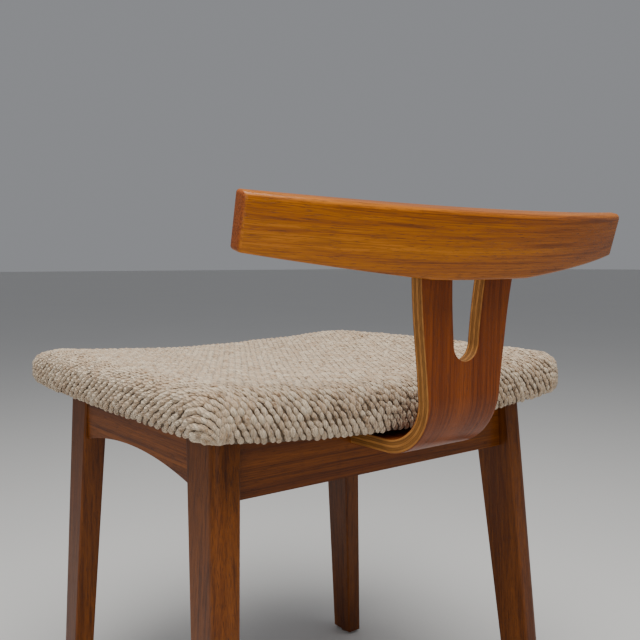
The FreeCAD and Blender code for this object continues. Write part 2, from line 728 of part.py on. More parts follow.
STAPLE_INSET, STAPLE_PITCH = 42, 52
staple_shapes = []
side_x = value("seat_half_width") - STAPLE_INSET
for step in range(-3, 4):
    for y in (value("seat_rear") - STAPLE_INSET, value("seat_front") + STAPLE_INSET):
        staple_shapes.append(staple("end", step * STAPLE_PITCH, y, False))
    middle_y = (value("seat_rear") + value("seat_front")) / 2
    for x in (side_x, -side_x):
        staple_shapes.append(staple("side", x, middle_y + step * STAPLE_PITCH, True))
cover_staples = doc.addObject("Part::Feature", "cover_staples")
cover_staples.Shape = Part.makeCompound(staple_shapes)
cover_staples.Label = "cover_staples"

SEAT_SCREW_FROM_RAIL, SEAT_SCREW_FROM_SIDE, SEAT_SCREW_LENGTH = 30, 22, 43
fixing = []
for sign, side in ((1, "left"), (-1, "right")):
    x = sign * (value(cross_reach) - SEAT_SCREW_FROM_SIDE)
    for end, y in (("rear", value("rear_rail_back - rail_thickness") - SEAT_SCREW_FROM_RAIL),
                   ("front", value("front_rail_front + rail_thickness") + SEAT_SCREW_FROM_RAIL)):
        fixing.append(screw(f"SeatScrew_{end}_{side}", "wood", UPWARD, x, y, "block_low", SEAT_SCREW_LENGTH))
seat_fixing_screws = group("seat_fixing_screws", fixing)
doc.recompute()


# ---------------------------------------------------------------- foot glides

PIN_RADIUS, PIN_HEIGHT = 1.5, 18


def glide(name, back, splay, foot_depth):
    """A plastic disc under a foot with a pin driven up into the end grain."""
    middle_x = f"leg_outer + side_splay * {drop('glide_height')} - foot_width / 2"
    middle_y = f"{back} + {splay} * {drop('glide_height')} - {foot_depth} / 2"
    disc = cylinder(name + "Disc", "glide_radius", "glide_height")
    pin = doc.addObject("Part::Cylinder", name + "Pin")
    pin.Radius, pin.Height = PIN_RADIUS, PIN_HEIGHT
    for piece in (disc, pin):
        place(piece, middle_x, middle_y, 0)
    whole = doc.addObject("Part::MultiFuse", name)
    whole.Shapes = [disc, pin]
    return whole


glides_left = group("GlidesLeft", [
    glide("RearGlide", "rear_leg_back", "rear_splay", "rear_foot_depth"),
    glide("FrontGlide", "front_leg_back", "-front_splay", "front_foot_depth")])
foot_glides = group("foot_glides", [glides_left, mirrored("GlidesRight", glides_left)])
doc.recompute()


# ---------------------------------------------------------------- the pieces as they are joined

def joined(name, base, *tools):
    """The finished piece: its blank less everything that is let into it."""
    piece = base
    for number, tool in enumerate(tools, start=1):
        piece = cut_from(f"{name}_cut{number}", piece, tool)
    piece.Label = name
    return piece


splat_screws_all = group("SplatScrewsAll", [splat_rail_screws, back_rail_screws, plug_blanks])
pieces = {}
for name, blank in (("rear_leg_left", rear_leg), ("front_leg_left", front_leg)):
    pieces[name] = joined(name, blank, dowel_group_left, glides_left)
for name in ("rear_leg", "front_leg"):
    pieces[name + "_right"] = mirrored(name + "_right", pieces[name + "_left"])
pieces["side_rail_left"] = joined("side_rail_left", side_rail, legs_left, dowel_group_left,
                                  corner_block_screws)
pieces["side_rail_right"] = mirrored("side_rail_right", pieces["side_rail_left"])
pieces["rear_rail"] = joined("rear_rail", rear_rail, all_legs, rail_dowels, splat_blank,
                             corner_block_screws, splat_rail_screws)
pieces["front_rail"] = joined("front_rail", front_rail, all_legs, rail_dowels, corner_block_screws)
pieces["splat_rail"] = joined("splat_rail", cross_rail, rail_dowels, splat_blank, splat_rail_screws)
for end, block in (("rear", rear_block), ("front", front_block)):
    left = f"{end}_corner_block_left"
    pieces[left] = joined(left, block, corner_block_screws, seat_fixing_screws)
    pieces[f"{end}_corner_block_right"] = mirrored(f"{end}_corner_block_right", pieces[left])
for name, layer in splat_layers.items():
    pieces[name] = joined(name, layer, splat_screws_all)
pieces["back_rail"] = joined("back_rail", back_body, splat_blank, back_rail_screws)
plugs = doc.addObject("Part::MultiCommon", "plug_common")
plugs.Shapes = [plug_blanks, splat_blank]
plugs.Label = "splat_screw_plugs"
pieces["splat_screw_plugs"] = plugs
pieces["seat_shell"] = joined("seat_shell", shell_blank, seat_fixing_screws, cover_staples)
pieces["seat_dust_cloth"] = joined("seat_dust_cloth", cloth_blank, seat_fixing_screws, cover_staples)
for name, piece in (("seat_foam", seat_foam), ("seat_cover", seat_cover), ("rail_dowels", rail_dowels),
                    ("corner_block_screws", corner_block_screws), ("splat_rail_screws", splat_rail_screws),
                    ("back_rail_screws", back_rail_screws), ("cover_staples", cover_staples),
                    ("seat_fixing_screws", seat_fixing_screws), ("foot_glides", foot_glides)):
    piece.Label = name
    pieces[name] = piece
doc.recompute()

faults = [item.Label for item in doc.Objects if {"Invalid", "Error"} & set(item.State)]
faults += [name for name, piece in pieces.items() if piece.Shape.isNull() or not piece.Shape.isValid()]
if faults:
    raise RuntimeError("failed pieces: " + ", ".join(faults))

os.makedirs("parts", exist_ok=True)
whole = FreeCAD.BoundBox()
for name, piece in sorted(pieces.items()):
    piece.Shape.exportStep(f"parts/{name}.step")
    box = piece.Shape.optimalBoundingBox(True, False)
    whole.add(box)
    print(f"{name:26s} solids {len(piece.Shape.Solids):3d}  volume {piece.Shape.Volume / 1000:9.2f} cm3  "
          f"x {box.XMin:7.1f} {box.XMax:7.1f}  y {box.YMin:7.1f} {box.YMax:7.1f}  "
          f"z {box.ZMin:6.1f} {box.ZMax:6.1f}")
print(f"whole  x {whole.XMin:.2f} {whole.XMax:.2f}  y {whole.YMin:.2f} {whole.YMax:.2f}  "
      f"z {whole.ZMin:.2f} {whole.ZMax:.2f}")
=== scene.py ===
"""Finish and soft parts of a low-backed dining chair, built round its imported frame.

The joinery keeps its own meshes and gets teak, beech and steel finishes. The wool seat, the bent
splat and the bowed back rail are made here as new pieces that stand for the plain ones.
"""
import math

import bmesh
import bpy
import numpy as np
from bpy.props import FloatProperty, FloatVectorProperty, IntProperty, PointerProperty
from mathutils import Matrix, Vector, noise
from mathutils.bvhtree import BVHTree


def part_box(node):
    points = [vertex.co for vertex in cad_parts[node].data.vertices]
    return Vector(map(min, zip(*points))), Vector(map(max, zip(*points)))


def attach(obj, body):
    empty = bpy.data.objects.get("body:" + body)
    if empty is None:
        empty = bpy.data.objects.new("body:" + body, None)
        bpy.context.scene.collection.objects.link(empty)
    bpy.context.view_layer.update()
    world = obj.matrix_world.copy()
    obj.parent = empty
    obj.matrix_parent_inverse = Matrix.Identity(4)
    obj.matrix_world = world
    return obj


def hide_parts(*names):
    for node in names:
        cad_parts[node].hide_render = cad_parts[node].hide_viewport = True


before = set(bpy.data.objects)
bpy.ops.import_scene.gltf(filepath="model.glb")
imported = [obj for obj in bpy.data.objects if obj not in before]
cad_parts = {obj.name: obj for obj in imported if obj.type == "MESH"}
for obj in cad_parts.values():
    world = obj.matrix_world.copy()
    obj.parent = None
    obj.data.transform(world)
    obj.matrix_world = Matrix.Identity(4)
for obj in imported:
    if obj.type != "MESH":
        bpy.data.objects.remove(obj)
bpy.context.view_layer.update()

bl_info = {
    "name": "Dining chair finish",
    "version": (1, 0, 0),
    "blender": (4, 5, 0),
    "location": "3D View > Sidebar > Chair",
    "description": "Wool seat, bent splat, back rail and wood finishes for a dining chair",
    "category": "Object",
}

# turns that bring the grain along X of the wood pattern
ALONG_X = (0.0, 0.0, 0.0)
ALONG_Y = (0.0, 0.0, -math.pi / 2)
ALONG_Z = (0.0, math.pi / 2, 0.0)

# numbers of a Mix node's sockets when it mixes colours
MIX_FACTOR, MIX_FIRST, MIX_SECOND = 0, 6, 7
MIX_RESULT = 2


# ---------------------------------------------------------------- settings

def length_setting(name, description, default):
    """A size in metres that a user may change."""
    return FloatProperty(name=name, description=description, default=default, unit="LENGTH",
                         precision=4)


def colour_setting(name, description, default):
    """A linear colour that a user may change."""
    return FloatVectorProperty(name=name, description=description, default=default,
                               subtype="COLOR", size=3, min=0.0, max=1.0)


class SeatSettings(bpy.types.PropertyGroup):
    """Sizes and colours of the wool seat."""
    inset: length_setting("Backing inset", "How far the backing lies inside the seat's outline", 0.0010)
    top_round: length_setting("Top edge", "Radius of the seat's top edge", 0.020)
    foot_round: length_setting("Lower edge", "Radius of the seat's lower edge", 0.014)
    corner: length_setting("Corner", "Radius of the seat's corners seen from above", 0.030)
    voxel: length_setting("Cloth grid", "Grid that the seat is remeshed on before it is inflated", 0.005)
    swell: length_setting("Most swell", "The furthest that the inflated cover may move", 0.0035)
    loop_pitch: length_setting("Loop pitch", "Distance between loops along a row", 0.0080)
    row_pitch: length_setting("Row pitch", "Distance between rows of loops", 0.0066)
    loop_length: length_setting("Loop length", "Length of one loop of yarn", 0.0122)
    loop_width: length_setting("Loop width", "Width of one loop of yarn", 0.0058)
    loop_height: length_setting("Loop height", "Thickness of one loop of yarn", 0.0042)
    seed: IntProperty(name="Seed", description="Seed of the loops' small differences", default=7)
    oat: colour_setting("Oat", "Main colour of the wool", (0.70, 0.51, 0.33))
    cream: colour_setting("Cream", "Palest wool", (0.95, 0.79, 0.58))
    fleck: colour_setting("Fleck", "Brown flecks in the wool", (0.26, 0.15, 0.075))


class BackSettings(bpy.types.PropertyGroup):
    """Sizes and colours of the splat and the back rail."""
    splat_arris: length_setting("Splat arris", "Bevel along the splat's edges", 0.0011)
    rear_arris: length_setting("Rear arris", "Radius of the rail's top rear edge", 0.0055)
    arris: length_setting("Arris", "Radius of the rail's other edges", 0.0030)
    gold: colour_setting("Gold", "Pale teak of the back rail", (0.52, 0.165, 0.004))
    amber: colour_setting("Amber", "Deeper teak of the back rail", (0.31, 0.080, 0.003))
    streak: colour_setting("Streak", "Dark streaks of the back rail", (0.09, 0.020, 0.003))
    veneer: colour_setting("Veneer", "Pale part of the splat's veneer", (0.27, 0.065, 0.010))
    veneer_deep: colour_setting("Deep veneer", "Deep part of the splat's veneer", (0.14, 0.028, 0.005))
    ply: colour_setting("Ply edge", "Colour of the plies at the splat's edge", (0.46, 0.20, 0.05))


class WoodSettings(bpy.types.PropertyGroup):
    """Colours of the frame's wood."""
    pale: colour_setting("Pale teak", "Pale teak of the legs and rails", (0.205, 0.056, 0.0045))
    deep: colour_setting("Deep teak", "Deep teak of the legs and rails", (0.105, 0.025, 0.0025))
    streak: colour_setting("Streak", "Dark streaks of the legs and rails", (0.034, 0.008, 0.002))
    beech_pale: colour_setting("Pale beech", "Pale beech of the hidden pieces", (0.66, 0.46, 0.27))
    beech_deep: colour_setting("Deep beech", "Deep beech of the hidden pieces", (0.47, 0.29, 0.15))


class StudioSettings(bpy.types.PropertyGroup):
    """Floor, lights and camera."""
    lens: FloatProperty(name="Lens", description="Focal length on a 36 mm sensor", default=44.62,
                        unit="CAMERA")
    floor: colour_setting("Floor", "Colour of the floor", (0.70, 0.695, 0.68))
    key_power: FloatProperty(name="Key light", description="Power of the large soft light", default=62.0,
                             unit="POWER")
    fill_power: FloatProperty(name="Fill light", description="Power of the fill light", default=10.0,
                              unit="POWER")
    sky: FloatProperty(name="Sky", description="Strength of the even light from all round", default=0.28)


# ---------------------------------------------------------------- nodes

def add_node(tree, kind, values=(), **settings):
    """A node of that kind with its settings made and its unlinked sockets set."""
    made = tree.nodes.new(kind)
    for key, setting in settings.items():
        setattr(made, key, setting)
    for socket, amount in dict(values).items():
        made.inputs[socket].default_value = amount
    return made


def wire(tree, source, target):
    """Links an output socket to an input socket."""
    tree.links.new(source, target)


def mixed(tree, factor, first, second):
    """The colour between first and second; each may be a socket or a colour."""
    made = add_node(tree, "ShaderNodeMix", data_type="RGBA")
    for socket, given in ((MIX_FACTOR, factor), (MIX_FIRST, first), (MIX_SECOND, second)):
        if isinstance(given, bpy.types.NodeSocket):
            wire(tree, given, made.inputs[socket])
        elif socket == MIX_FACTOR:
            made.inputs[socket].default_value = given
        else:
            made.inputs[socket].default_value = (*given, 1.0)
    return made.outputs[MIX_RESULT]


def maths(tree, operation, first, second=0.0, third=0.0):
    """The output of a Math node; each term may be a socket or a number."""
    made = tree.nodes.new("ShaderNodeMath")
    made.operation = operation
    for slot, given in enumerate((first, second, third)):
        if isinstance(given, bpy.types.NodeSocket):
            wire(tree, given, made.inputs[slot])
        else:
            made.inputs[slot].default_value = given
    return made.outputs[0]


def stepped(tree, source, low, high, to_low=0.0, to_high=1.0):
    """source brought from low..high to to_low..to_high with a smooth step."""
    made = add_node(tree, "ShaderNodeMapRange", {"From Min": low, "From Max": high, "To Min": to_low,
                                                  "To Max": to_high}, interpolation_type="SMOOTHSTEP")
    wire(tree, source, made.inputs["Value"])
    return made.outputs["Result"]


def stretched_noise(tree, vector, scale, detail, roughness=0.55, distortion=0.0):
    """Noise on vector scaled by the three numbers of scale."""
    mapping = add_node(tree, "ShaderNodeMapping", {"Scale": scale})
    wire(tree, vector, mapping.inputs["Vector"])
    grain = add_node(tree, "ShaderNodeTexNoise", {"Scale": 1.0, "Detail": detail, "Roughness": roughness,
                                                  "Distortion": distortion})
    wire(tree, mapping.outputs[0], grain.inputs["Vector"])
    return grain.outputs["Fac"]


def new_group(name, inputs, outputs):
    """A shader node group with named sockets, given as (name, kind, default)."""
    tree = bpy.data.node_groups.new(name, "ShaderNodeTree")
    for label, kind, default in inputs:
        socket = tree.interface.new_socket(label, in_out="INPUT", socket_type=kind)
        if default is not None:
            socket.default_value = default
    for label, kind in outputs:
        tree.interface.new_socket(label, in_out="OUTPUT", socket_type=kind)
    return tree, tree.nodes.new("NodeGroupInput").outputs, tree.nodes.new("NodeGroupOutput").inputs


def wood_grain_group():
    """Straight-grained wood along X: figure, dark streaks, fine fibres and open pores."""
    if "wood_grain" in bpy.data.node_groups:
        return bpy.data.node_groups["wood_grain"]
    tree, given, result = new_group(
        "wood_grain",
        [("Vector", "NodeSocketVector", None), ("Pale", "NodeSocketColor", (0.5, 0.2, 0.05, 1)),
         ("Deep", "NodeSocketColor", (0.3, 0.1, 0.02, 1)),
         ("Streak", "NodeSocketColor", (0.1, 0.03, 0.01, 1)),
         ("Streaks", "NodeSocketFloat", 0.6), ("Fineness", "NodeSocketFloat", 1.0),
         ("Gloss", "NodeSocketFloat", 0.36)],
        [("Color", "NodeSocketColor"), ("Roughness", "NodeSocketFloat"), ("Height", "NodeSocketFloat")])
    scaled = add_node(tree, "ShaderNodeVectorMath", operation="SCALE")
    wire(tree, given["Vector"], scaled.inputs[0])
    wire(tree, given["Fineness"], scaled.inputs["Scale"])
    place = scaled.outputs[0]
    figure = stretched_noise(tree, place, (1.3, 26, 26), 2.0, 0.5, 0.25)
    bands = stretched_noise(tree, place, (2.6, 210, 210), 3.0, 0.6, 0.1)
    fibres = stretched_noise(tree, place, (12, 800, 800), 2.0, 0.6)
    pores = stretched_noise(tree, place, (75, 1700, 1700), 1.0, 0.5)
    tone = maths(tree, "ADD", maths(tree, "MULTIPLY", figure, 0.55), maths(tree, "MULTIPLY", bands, 0.45))
    colour = mixed(tree, stepped(tree, tone, 0.36, 0.64), given["Pale"], given["Deep"])
    dark_bands = stepped(tree, bands, 0.56, 0.70)
    colour = mixed(tree, maths(tree, "MULTIPLY", dark_bands, given["Streaks"]), colour, given["Streak"])
    fine = stepped(tree, fibres, 0.40, 0.70, 0.0, 0.46)
    colour = mixed(tree, fine, colour, given["Streak"])
    open_pores = stepped(tree, pores, 0.60, 0.70)
    colour = mixed(tree, maths(tree, "MULTIPLY", open_pores, 0.6), colour, given["Streak"])
    wire(tree, colour, result["Color"])
    rough = maths(tree, "MULTIPLY_ADD", fibres, 0.16, given["Gloss"])
    wire(tree, rough, result["Roughness"])
    lift = maths(tree, "SUBTRACT", maths(tree, "MULTIPLY", fibres, 0.35), open_pores)
    wire(tree, lift, result["Height"])
    return tree


def ply_stack_group():
    """Plies of alternating tone with dark glue lines; Plies is their number in one unit of Depth."""
    if "ply_stack" in bpy.data.node_groups:
        return bpy.data.node_groups["ply_stack"]
    tree, given, result = new_group(
        "ply_stack",
        [("Depth", "NodeSocketFloat", 0.5), ("Plies", "NodeSocketFloat", 5.0),
         ("Vector", "NodeSocketVector", None), ("Ply", "NodeSocketColor", (0.5, 0.3, 0.1, 1)),
         ("Cross Ply", "NodeSocketColor", (0.4, 0.2, 0.08, 1)),
         ("Glue", "NodeSocketColor", (0.1, 0.04, 0.02, 1))],
        [("Color", "NodeSocketColor"), ("Height", "NodeSocketFloat")])
    wander = stretched_noise(tree, given["Vector"], (25, 25, 25), 1.0)
    waviness = maths(tree, "MULTIPLY_ADD", wander, 0.3, -0.15)
    counted = maths(tree, "MULTIPLY_ADD", given["Depth"], given["Plies"], waviness)
    within = maths(tree, "FRACT", counted)
    odd = maths(tree, "GREATER_THAN", maths(tree, "FRACT", maths(tree, "MULTIPLY", counted, 0.5)), 0.5)
    fibres = stretched_noise(tree, given["Vector"], (40, 900, 900), 2.0)
    colour = mixed(tree, odd, given["Ply"], given["Cross Ply"])
    colour = mixed(tree, stepped(tree, fibres, 0.35, 0.75, 0.0, 0.45), colour, given["Glue"])
    edge = maths(tree, "ABSOLUTE", maths(tree, "SUBTRACT", within, 0.5))
    line = stepped(tree, edge, 0.40, 0.49)
    colour = mixed(tree, maths(tree, "MULTIPLY", line, 0.8), colour, given["Glue"])
    wire(tree, colour, result["Color"])
    wire(tree, maths(tree, "MULTIPLY", line, -1.0), result["Height"])
    return tree


def thread_weave_group():
    """Two sets of threads crossing over and under, for a plain cloth."""
    if "thread_weave" in bpy.data.node_groups:
        return bpy.data.node_groups["thread_weave"]
    tree, given, result = new_group(
        "thread_weave",
        [("Vector", "NodeSocketVector", None), ("Threads", "NodeSocketFloat", 900.0)],
        [("Mask", "NodeSocketFloat"), ("Height", "NodeSocketFloat")])
    parts = tree.nodes.new("ShaderNodeSeparateXYZ")
    scaled = add_node(tree, "ShaderNodeVectorMath", operation="SCALE")
    wire(tree, given["Vector"], scaled.inputs[0])
    wire(tree, given["Threads"], scaled.inputs["Scale"])
    wire(tree, scaled.outputs[0], parts.inputs[0])
    across = maths(tree, "SINE", parts.outputs[0])
    along = maths(tree, "SINE", parts.outputs[1])
    over = maths(tree, "MULTIPLY", across, along)
    patches = stretched_noise(tree, given["Vector"], (220, 220, 220), 2.0)
    wire(tree, stepped(tree, maths(tree, "ADD", over, patches), -0.4, 1.4), result["Mask"])
    wire(tree, over, result["Height"])
    return tree


def use_group(tree, group, values):
    """Places a node group; each value may be a socket, a colour or a number."""
    made = tree.nodes.new("ShaderNodeGroup")
    made.node_tree = group
    for label, given in values.items():
        if isinstance(given, bpy.types.NodeSocket):
            wire(tree, given, made.inputs[label])
        elif made.inputs[label].type == "RGBA":
            made.inputs[label].default_value = (*given, 1.0)
        else:
            made.inputs[label].default_value = given
    return made.outputs


def new_material(name, **constants):
    """A material with its shader's plain sockets set; returns it, its tree and the shader's inputs."""
    material = bpy.data.materials.new(name)
    material.use_nodes = True
    tree = material.node_tree
    shader = tree.nodes["Principled BSDF"]
    for label, amount in constants.items():
        shader.inputs[label.replace("_", " ")].default_value = amount
    return material, tree, shader.inputs


def bumped(tree, height, normal, distance):
    """Feeds a height to the shader's normal through a Bump node."""
    bump = add_node(tree, "ShaderNodeBump", {"Distance": distance, "Strength": 1.0})
    wire(tree, height, bump.inputs["Height"])
    wire(tree, bump.outputs[0], normal)


def object_place(tree, turn=ALONG_X, shift=(0, 0, 0)):
    """Object coordinates, turned and shifted for the piece's grain."""
    coordinate = tree.nodes.new("ShaderNodeTexCoord")
    mapping = add_node(tree, "ShaderNodeMapping", {"Rotation": turn, "Location": shift})
    wire(tree, coordinate.outputs["Object"], mapping.inputs["Vector"])
    return mapping.outputs[0]


def oiled_wood(name, turn, pale, deep, streak, streaks=0.55, fineness=1.0, gloss=0.36, coat=0.25,
               shift=(0, 0, 0)):
    """Solid wood with the grain along one axis and a satin finish."""
    material, tree, shader = new_material(name, Coat_Weight=coat, Coat_Roughness=0.22, Specular_IOR_Level=0.2)
    grain = use_group(tree, wood_grain_group(),
                      {"Vector": object_place(tree, turn, shift), "Pale": pale, "Deep": deep,
                       "Streak": streak, "Streaks": streaks, "Fineness": fineness, "Gloss": gloss})
    wire(tree, grain["Color"], shader["Base Color"])
    wire(tree, grain["Roughness"], shader["Roughness"])
    bumped(tree, grain["Height"], shader["Normal"], 0.00012)
    return material


def toned(colour, factor):
    """The colour made lighter or darker."""
    return tuple(channel * factor for channel in colour)


def finish_node(node, material):
    """Puts a material in every slot of a node of the frame."""
    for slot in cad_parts[node].material_slots:
        slot.material = material


# ---------------------------------------------------------------- meshes

def new_piece(name, points, faces):
    """A mesh object from points and faces, smooth shaded, in the scene."""
    mesh = bpy.data.meshes.new(name)
    mesh.from_pydata([tuple(point) for point in points], [], faces)
    mesh.validate()
    piece = bpy.data.objects.new(name, mesh)
    bpy.context.scene.collection.objects.link(piece)
    mesh.shade_smooth()
    return piece


def evaluated_copy(piece):
    """The piece's mesh with its modifiers carried out."""
    graph = bpy.context.evaluated_depsgraph_get()
    return bpy.data.meshes.new_from_object(piece.evaluated_get(graph), preserve_all_data_layers=True,
                                           depsgraph=graph)


def coordinates(mesh):
    """The mesh's points as an array."""
    flat = np.empty(len(mesh.vertices) * 3)
    mesh.vertices.foreach_get("co", flat)
    return flat.reshape(-1, 3)


def set_coordinates(mesh, points):
    """Moves the mesh's points."""
    mesh.vertices.foreach_set("co", np.asarray(points, dtype=float).ravel())
    mesh.update()


def set_value(mesh, name, kind, values):
    """Stores a value for each point."""
    attribute = mesh.attributes.new(name, kind, "POINT")
    field = "vector" if kind == "FLOAT_VECTOR" else "value"
    attribute.data.foreach_set(field, np.asarray(values, dtype=float).ravel())


def ring_faces(rings, size):
    """Quads between rings of points that follow each other, and a face across each end."""
    faces = []
    for ring in range(rings - 1):
        for step in range(size):
            here, onward = ring * size + step, ring * size + (step + 1) % size
            faces.append((here, onward, onward + size, here + size))
    last = (rings - 1) * size
    faces.append(tuple(range(size - 1, -1, -1)))
    faces.append(tuple(range(last, last + size)))
    return faces


def sharpen(mesh, angle):
    """Smooth shading except where faces meet at more than angle."""
    mesh.shade_smooth()
    mesh.set_sharp_from_angle(angle=angle)


# ---------------------------------------------------------------- seat

class SeatForm:
    """The seat's outline, saddle and edges, from the box of its plain cover."""
    side_bow = 6.0          # radius of the sides seen from above
    end_bow = 5.0           # radius of the front and rear seen from above
    saddle = 1.930          # radius of the underside seen from the front
    depth = 0.047
    cover_thickness = 0.0016
    least_corner = 0.004    # radius below which an inner outline's corners don't shrink
    fullest_corner = 0.98   # the most of half a side that a corner takes
    evening = 0.55          # spreads an outline's points evenly over its sides

    def __init__(self, settings):
        low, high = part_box("seat_cover")
        self.half_width = high[0]
        self.middle_y = (low[1] + high[1]) / 2
        self.half_length = (high[1] - low[1]) / 2
        self.settings = settings
        shell_low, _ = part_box("seat_shell")
        self.axis_z = shell_low[2] - self.cover_thickness + self.saddle

    def under(self, x):
        """Height of the underside."""
        return self.axis_z - np.sqrt(self.saddle ** 2 - x ** 2)

    def top(self, x):
        """Height of the top."""
        return self.axis_z - np.sqrt((self.saddle - self.depth) ** 2 - x ** 2)

    def bowed(self, x, y):
        """A point of the straight-sided outline moved in to the bowed sides."""
        side = self.side_bow - np.sqrt(self.side_bow ** 2 - (y + self.middle_y) ** 2)
        end = self.end_bow - np.sqrt(self.end_bow ** 2 - x ** 2)
        return x * (1 - side / self.half_width), y * (1 - end / self.half_length) + self.middle_y

    def ring(self, inset, count):
        """The outline moved inwards, as count points."""
        half_x = self.half_width - inset
        half_y = self.half_length - inset
        radius = max(self.settings.corner - inset, self.least_corner)
        radius = min(radius, half_x * self.fullest_corner, half_y * self.fullest_corner)
        quarter = count // 4
        points = []
        for step in range(count):
            side, within = divmod(step, quarter)
            angle = math.pi / 2 * (side + within / quarter)
            direction = np.array([math.cos(angle), math.sin(angle)])
            share = abs(direction) ** self.evening * np.sign(direction)
            reach = share / max(abs(share))
            box = np.array([half_x, half_y]) * reach
            inner = np.clip(box, [radius - half_x, radius - half_y], [half_x - radius, half_y - radius])
            beyond = box - inner
            size = np.linalg.norm(beyond)
            if size > radius:
                box = inner + beyond * radius / size
            points.append(self.bowed(*box))
        return np.array(points)


def seat_backing(form, settings):
    """The cloth backing of the seat before it is inflated: rings round an edge profile."""
    count = 320
    innermost, outermost, pitch = 0.22, 0.03, 0.012
    clearance = 0.0006
    flats = np.arange(innermost, outermost, -pitch)
    profile = [(step, "under", 0.0) for step in flats]
    for angle in np.linspace(0, math.pi / 2, 6):
        profile.append((settings.foot_round * (1 - math.sin(angle)), "under",
                        settings.foot_round * (1 - math.cos(angle))))
    for angle in np.linspace(0, math.pi / 2, 8):
        profile.append((settings.top_round * (1 - math.cos(angle)), "top",
                        -settings.top_round * (1 - math.sin(angle))))
    profile.extend((step, "top", 0.0) for step in flats[::-1])
    points = []
    for step, surface, lift in profile:
        ring = form.ring(step + settings.inset, count)
        if surface == "under":
            heights = form.under(ring[:, 0]) + clearance
        else:
            heights = form.top(ring[:, 0]) - settings.inset
        points.extend(np.column_stack([ring, heights + lift]))
    return new_piece("seat_backing", points, ring_faces(len(profile), count))


def remeshed(piece, voxel):
    """The piece's mesh on an even grid of quads."""
    modifier = piece.modifiers.new("Even grid", "REMESH")
    modifier.mode = "VOXEL"
    modifier.voxel_size = voxel
    modifier.use_smooth_shade = True
    mesh = evaluated_copy(piece)
    piece.modifiers.clear()
    piece.data = mesh
    return piece


def inflate(piece, form, settings):
    """Swells the cover like a tight pad; the underside stays put and the movement is capped."""
    frames = 20
    still, fading = 0.004, 0.022    # heights over the underside: no swell, and on to the full swell
    share_taken = 0.6
    before = coordinates(piece.data).copy()
    cloth = piece.modifiers.new("Swell", "CLOTH")
    cloth.settings.use_pressure = True
    cloth.settings.uniform_pressure_force = 4.0
    cloth.settings.effector_weights.gravity = 0.0
    cloth.settings.tension_stiffness = 40
    cloth.settings.compression_stiffness = 40
    cloth.settings.bending_stiffness = 4
    for moment in range(1, frames + 1):
        bpy.context.scene.frame_set(moment)
        bpy.context.view_layer.update()
    after = coordinates(evaluated_copy(piece))
    piece.modifiers.clear()
    bpy.context.scene.frame_set(1)
    move = after - before
    size = np.linalg.norm(move, axis=1, keepdims=True)
    move *= np.minimum(1.0, settings.swell / np.maximum(size, 1e-9))
    above = np.clip((before[:, 2] - form.under(before[:, 0]) - still) / fading, 0, 1)
    set_coordinates(piece.data, before + move * above[:, None] * share_taken)


def thin_front(points, form):
    """The pad runs down and thins a little towards its front corners."""
    front_reach = 0.10
    flat_half, side_reach = 0.10, 0.14
    thinning, fall = 0.24, 0.003
    x, y, z = points.T
    forward = np.clip((form.middle_y - form.half_length + front_reach - y) / front_reach, 0, 1) ** 1.5
    outward = np.clip((np.abs(x) - flat_half) / side_reach, 0, 1)
    middle = form.under(x) + form.depth * 0.45
    z = middle + (z - middle) * (1 - thinning * forward * outward)
    rise = np.clip((z - form.under(x)) / form.depth, 0, 1)
    return np.column_stack([x, y, z - fall * forward * rise])


def soften(piece, form):
    """Thins the front, with slight hollows and pulls along the lower edge and over the top."""
    hollow, pull = 0.0011, 0.0010
    pull_height = 0.25      # share of the depth at which the staples pull most
    shoulder = 0.75         # share of the depth at which the side turns to the top
    near_edge = 0.9
    points = thin_front(coordinates(piece.data), form)
    for index, (x, y, z) in enumerate(points):
        height = (z - form.under(np.array(x))) / form.depth
        lift = noise.noise(Vector((x * 16, y * 16, z * 20))) * hollow
        staples = max(0.0, 1 - abs(height - pull_height) * 3)
        tug = noise.noise(Vector((x * 45 + 9, y * 45, 3))) * pull * staples
        outward = np.array([x / form.half_width, (y - form.middle_y) / form.half_length])
        if max(abs(outward)) > near_edge and height < shoulder:
            points[index, :2] += outward * (tug + lift * 0.5)
        elif height > shoulder:
            points[index, 2] += lift
    set_coordinates(piece.data, points)


def wrapped(form, settings, u, v):
    """Where points of the flat cloth come to lie, and how far each is past the top's flat part."""
    top_round = settings.top_round
    foot_round = settings.foot_round
    side = form.depth - top_round - foot_round
    flat_x = form.half_width - top_round
    flat_y = form.half_length - top_round
    corner = settings.corner - top_round
    out_x = np.maximum(np.abs(u) - (flat_x - corner), 0)
    out_y = np.maximum(np.abs(v) - (flat_y - corner), 0)
    size = np.hypot(out_x, out_y)
    over = size > corner
    safe = np.maximum(size, 1e-9)
    outward_x = np.where(over, out_x / safe * np.sign(u), 0)
    outward_y = np.where(over, out_y / safe * np.sign(v), 0)
    past = np.maximum(size - corner, 0)
    top_bend = top_round * math.pi / 2
    foot_bend = foot_round * math.pi / 2
    top_angle = np.clip(past / top_round, 0, math.pi / 2)
    down = np.clip(past - top_bend, 0, side)
    foot_angle = np.clip((past - top_bend - side) / foot_round, 0, math.pi / 2)
    back_in = np.maximum(past - top_bend - side - foot_bend, 0)
    out = top_round * np.sin(top_angle) - foot_round * (1 - np.cos(foot_angle)) - back_in
    drop = top_round * (1 - np.cos(top_angle)) + down + foot_round * np.sin(foot_angle)
    x, y = form.bowed(u + outward_x * (out - past), v + outward_y * (out - past))
    return np.column_stack([x, y, form.top(x) - drop]), past


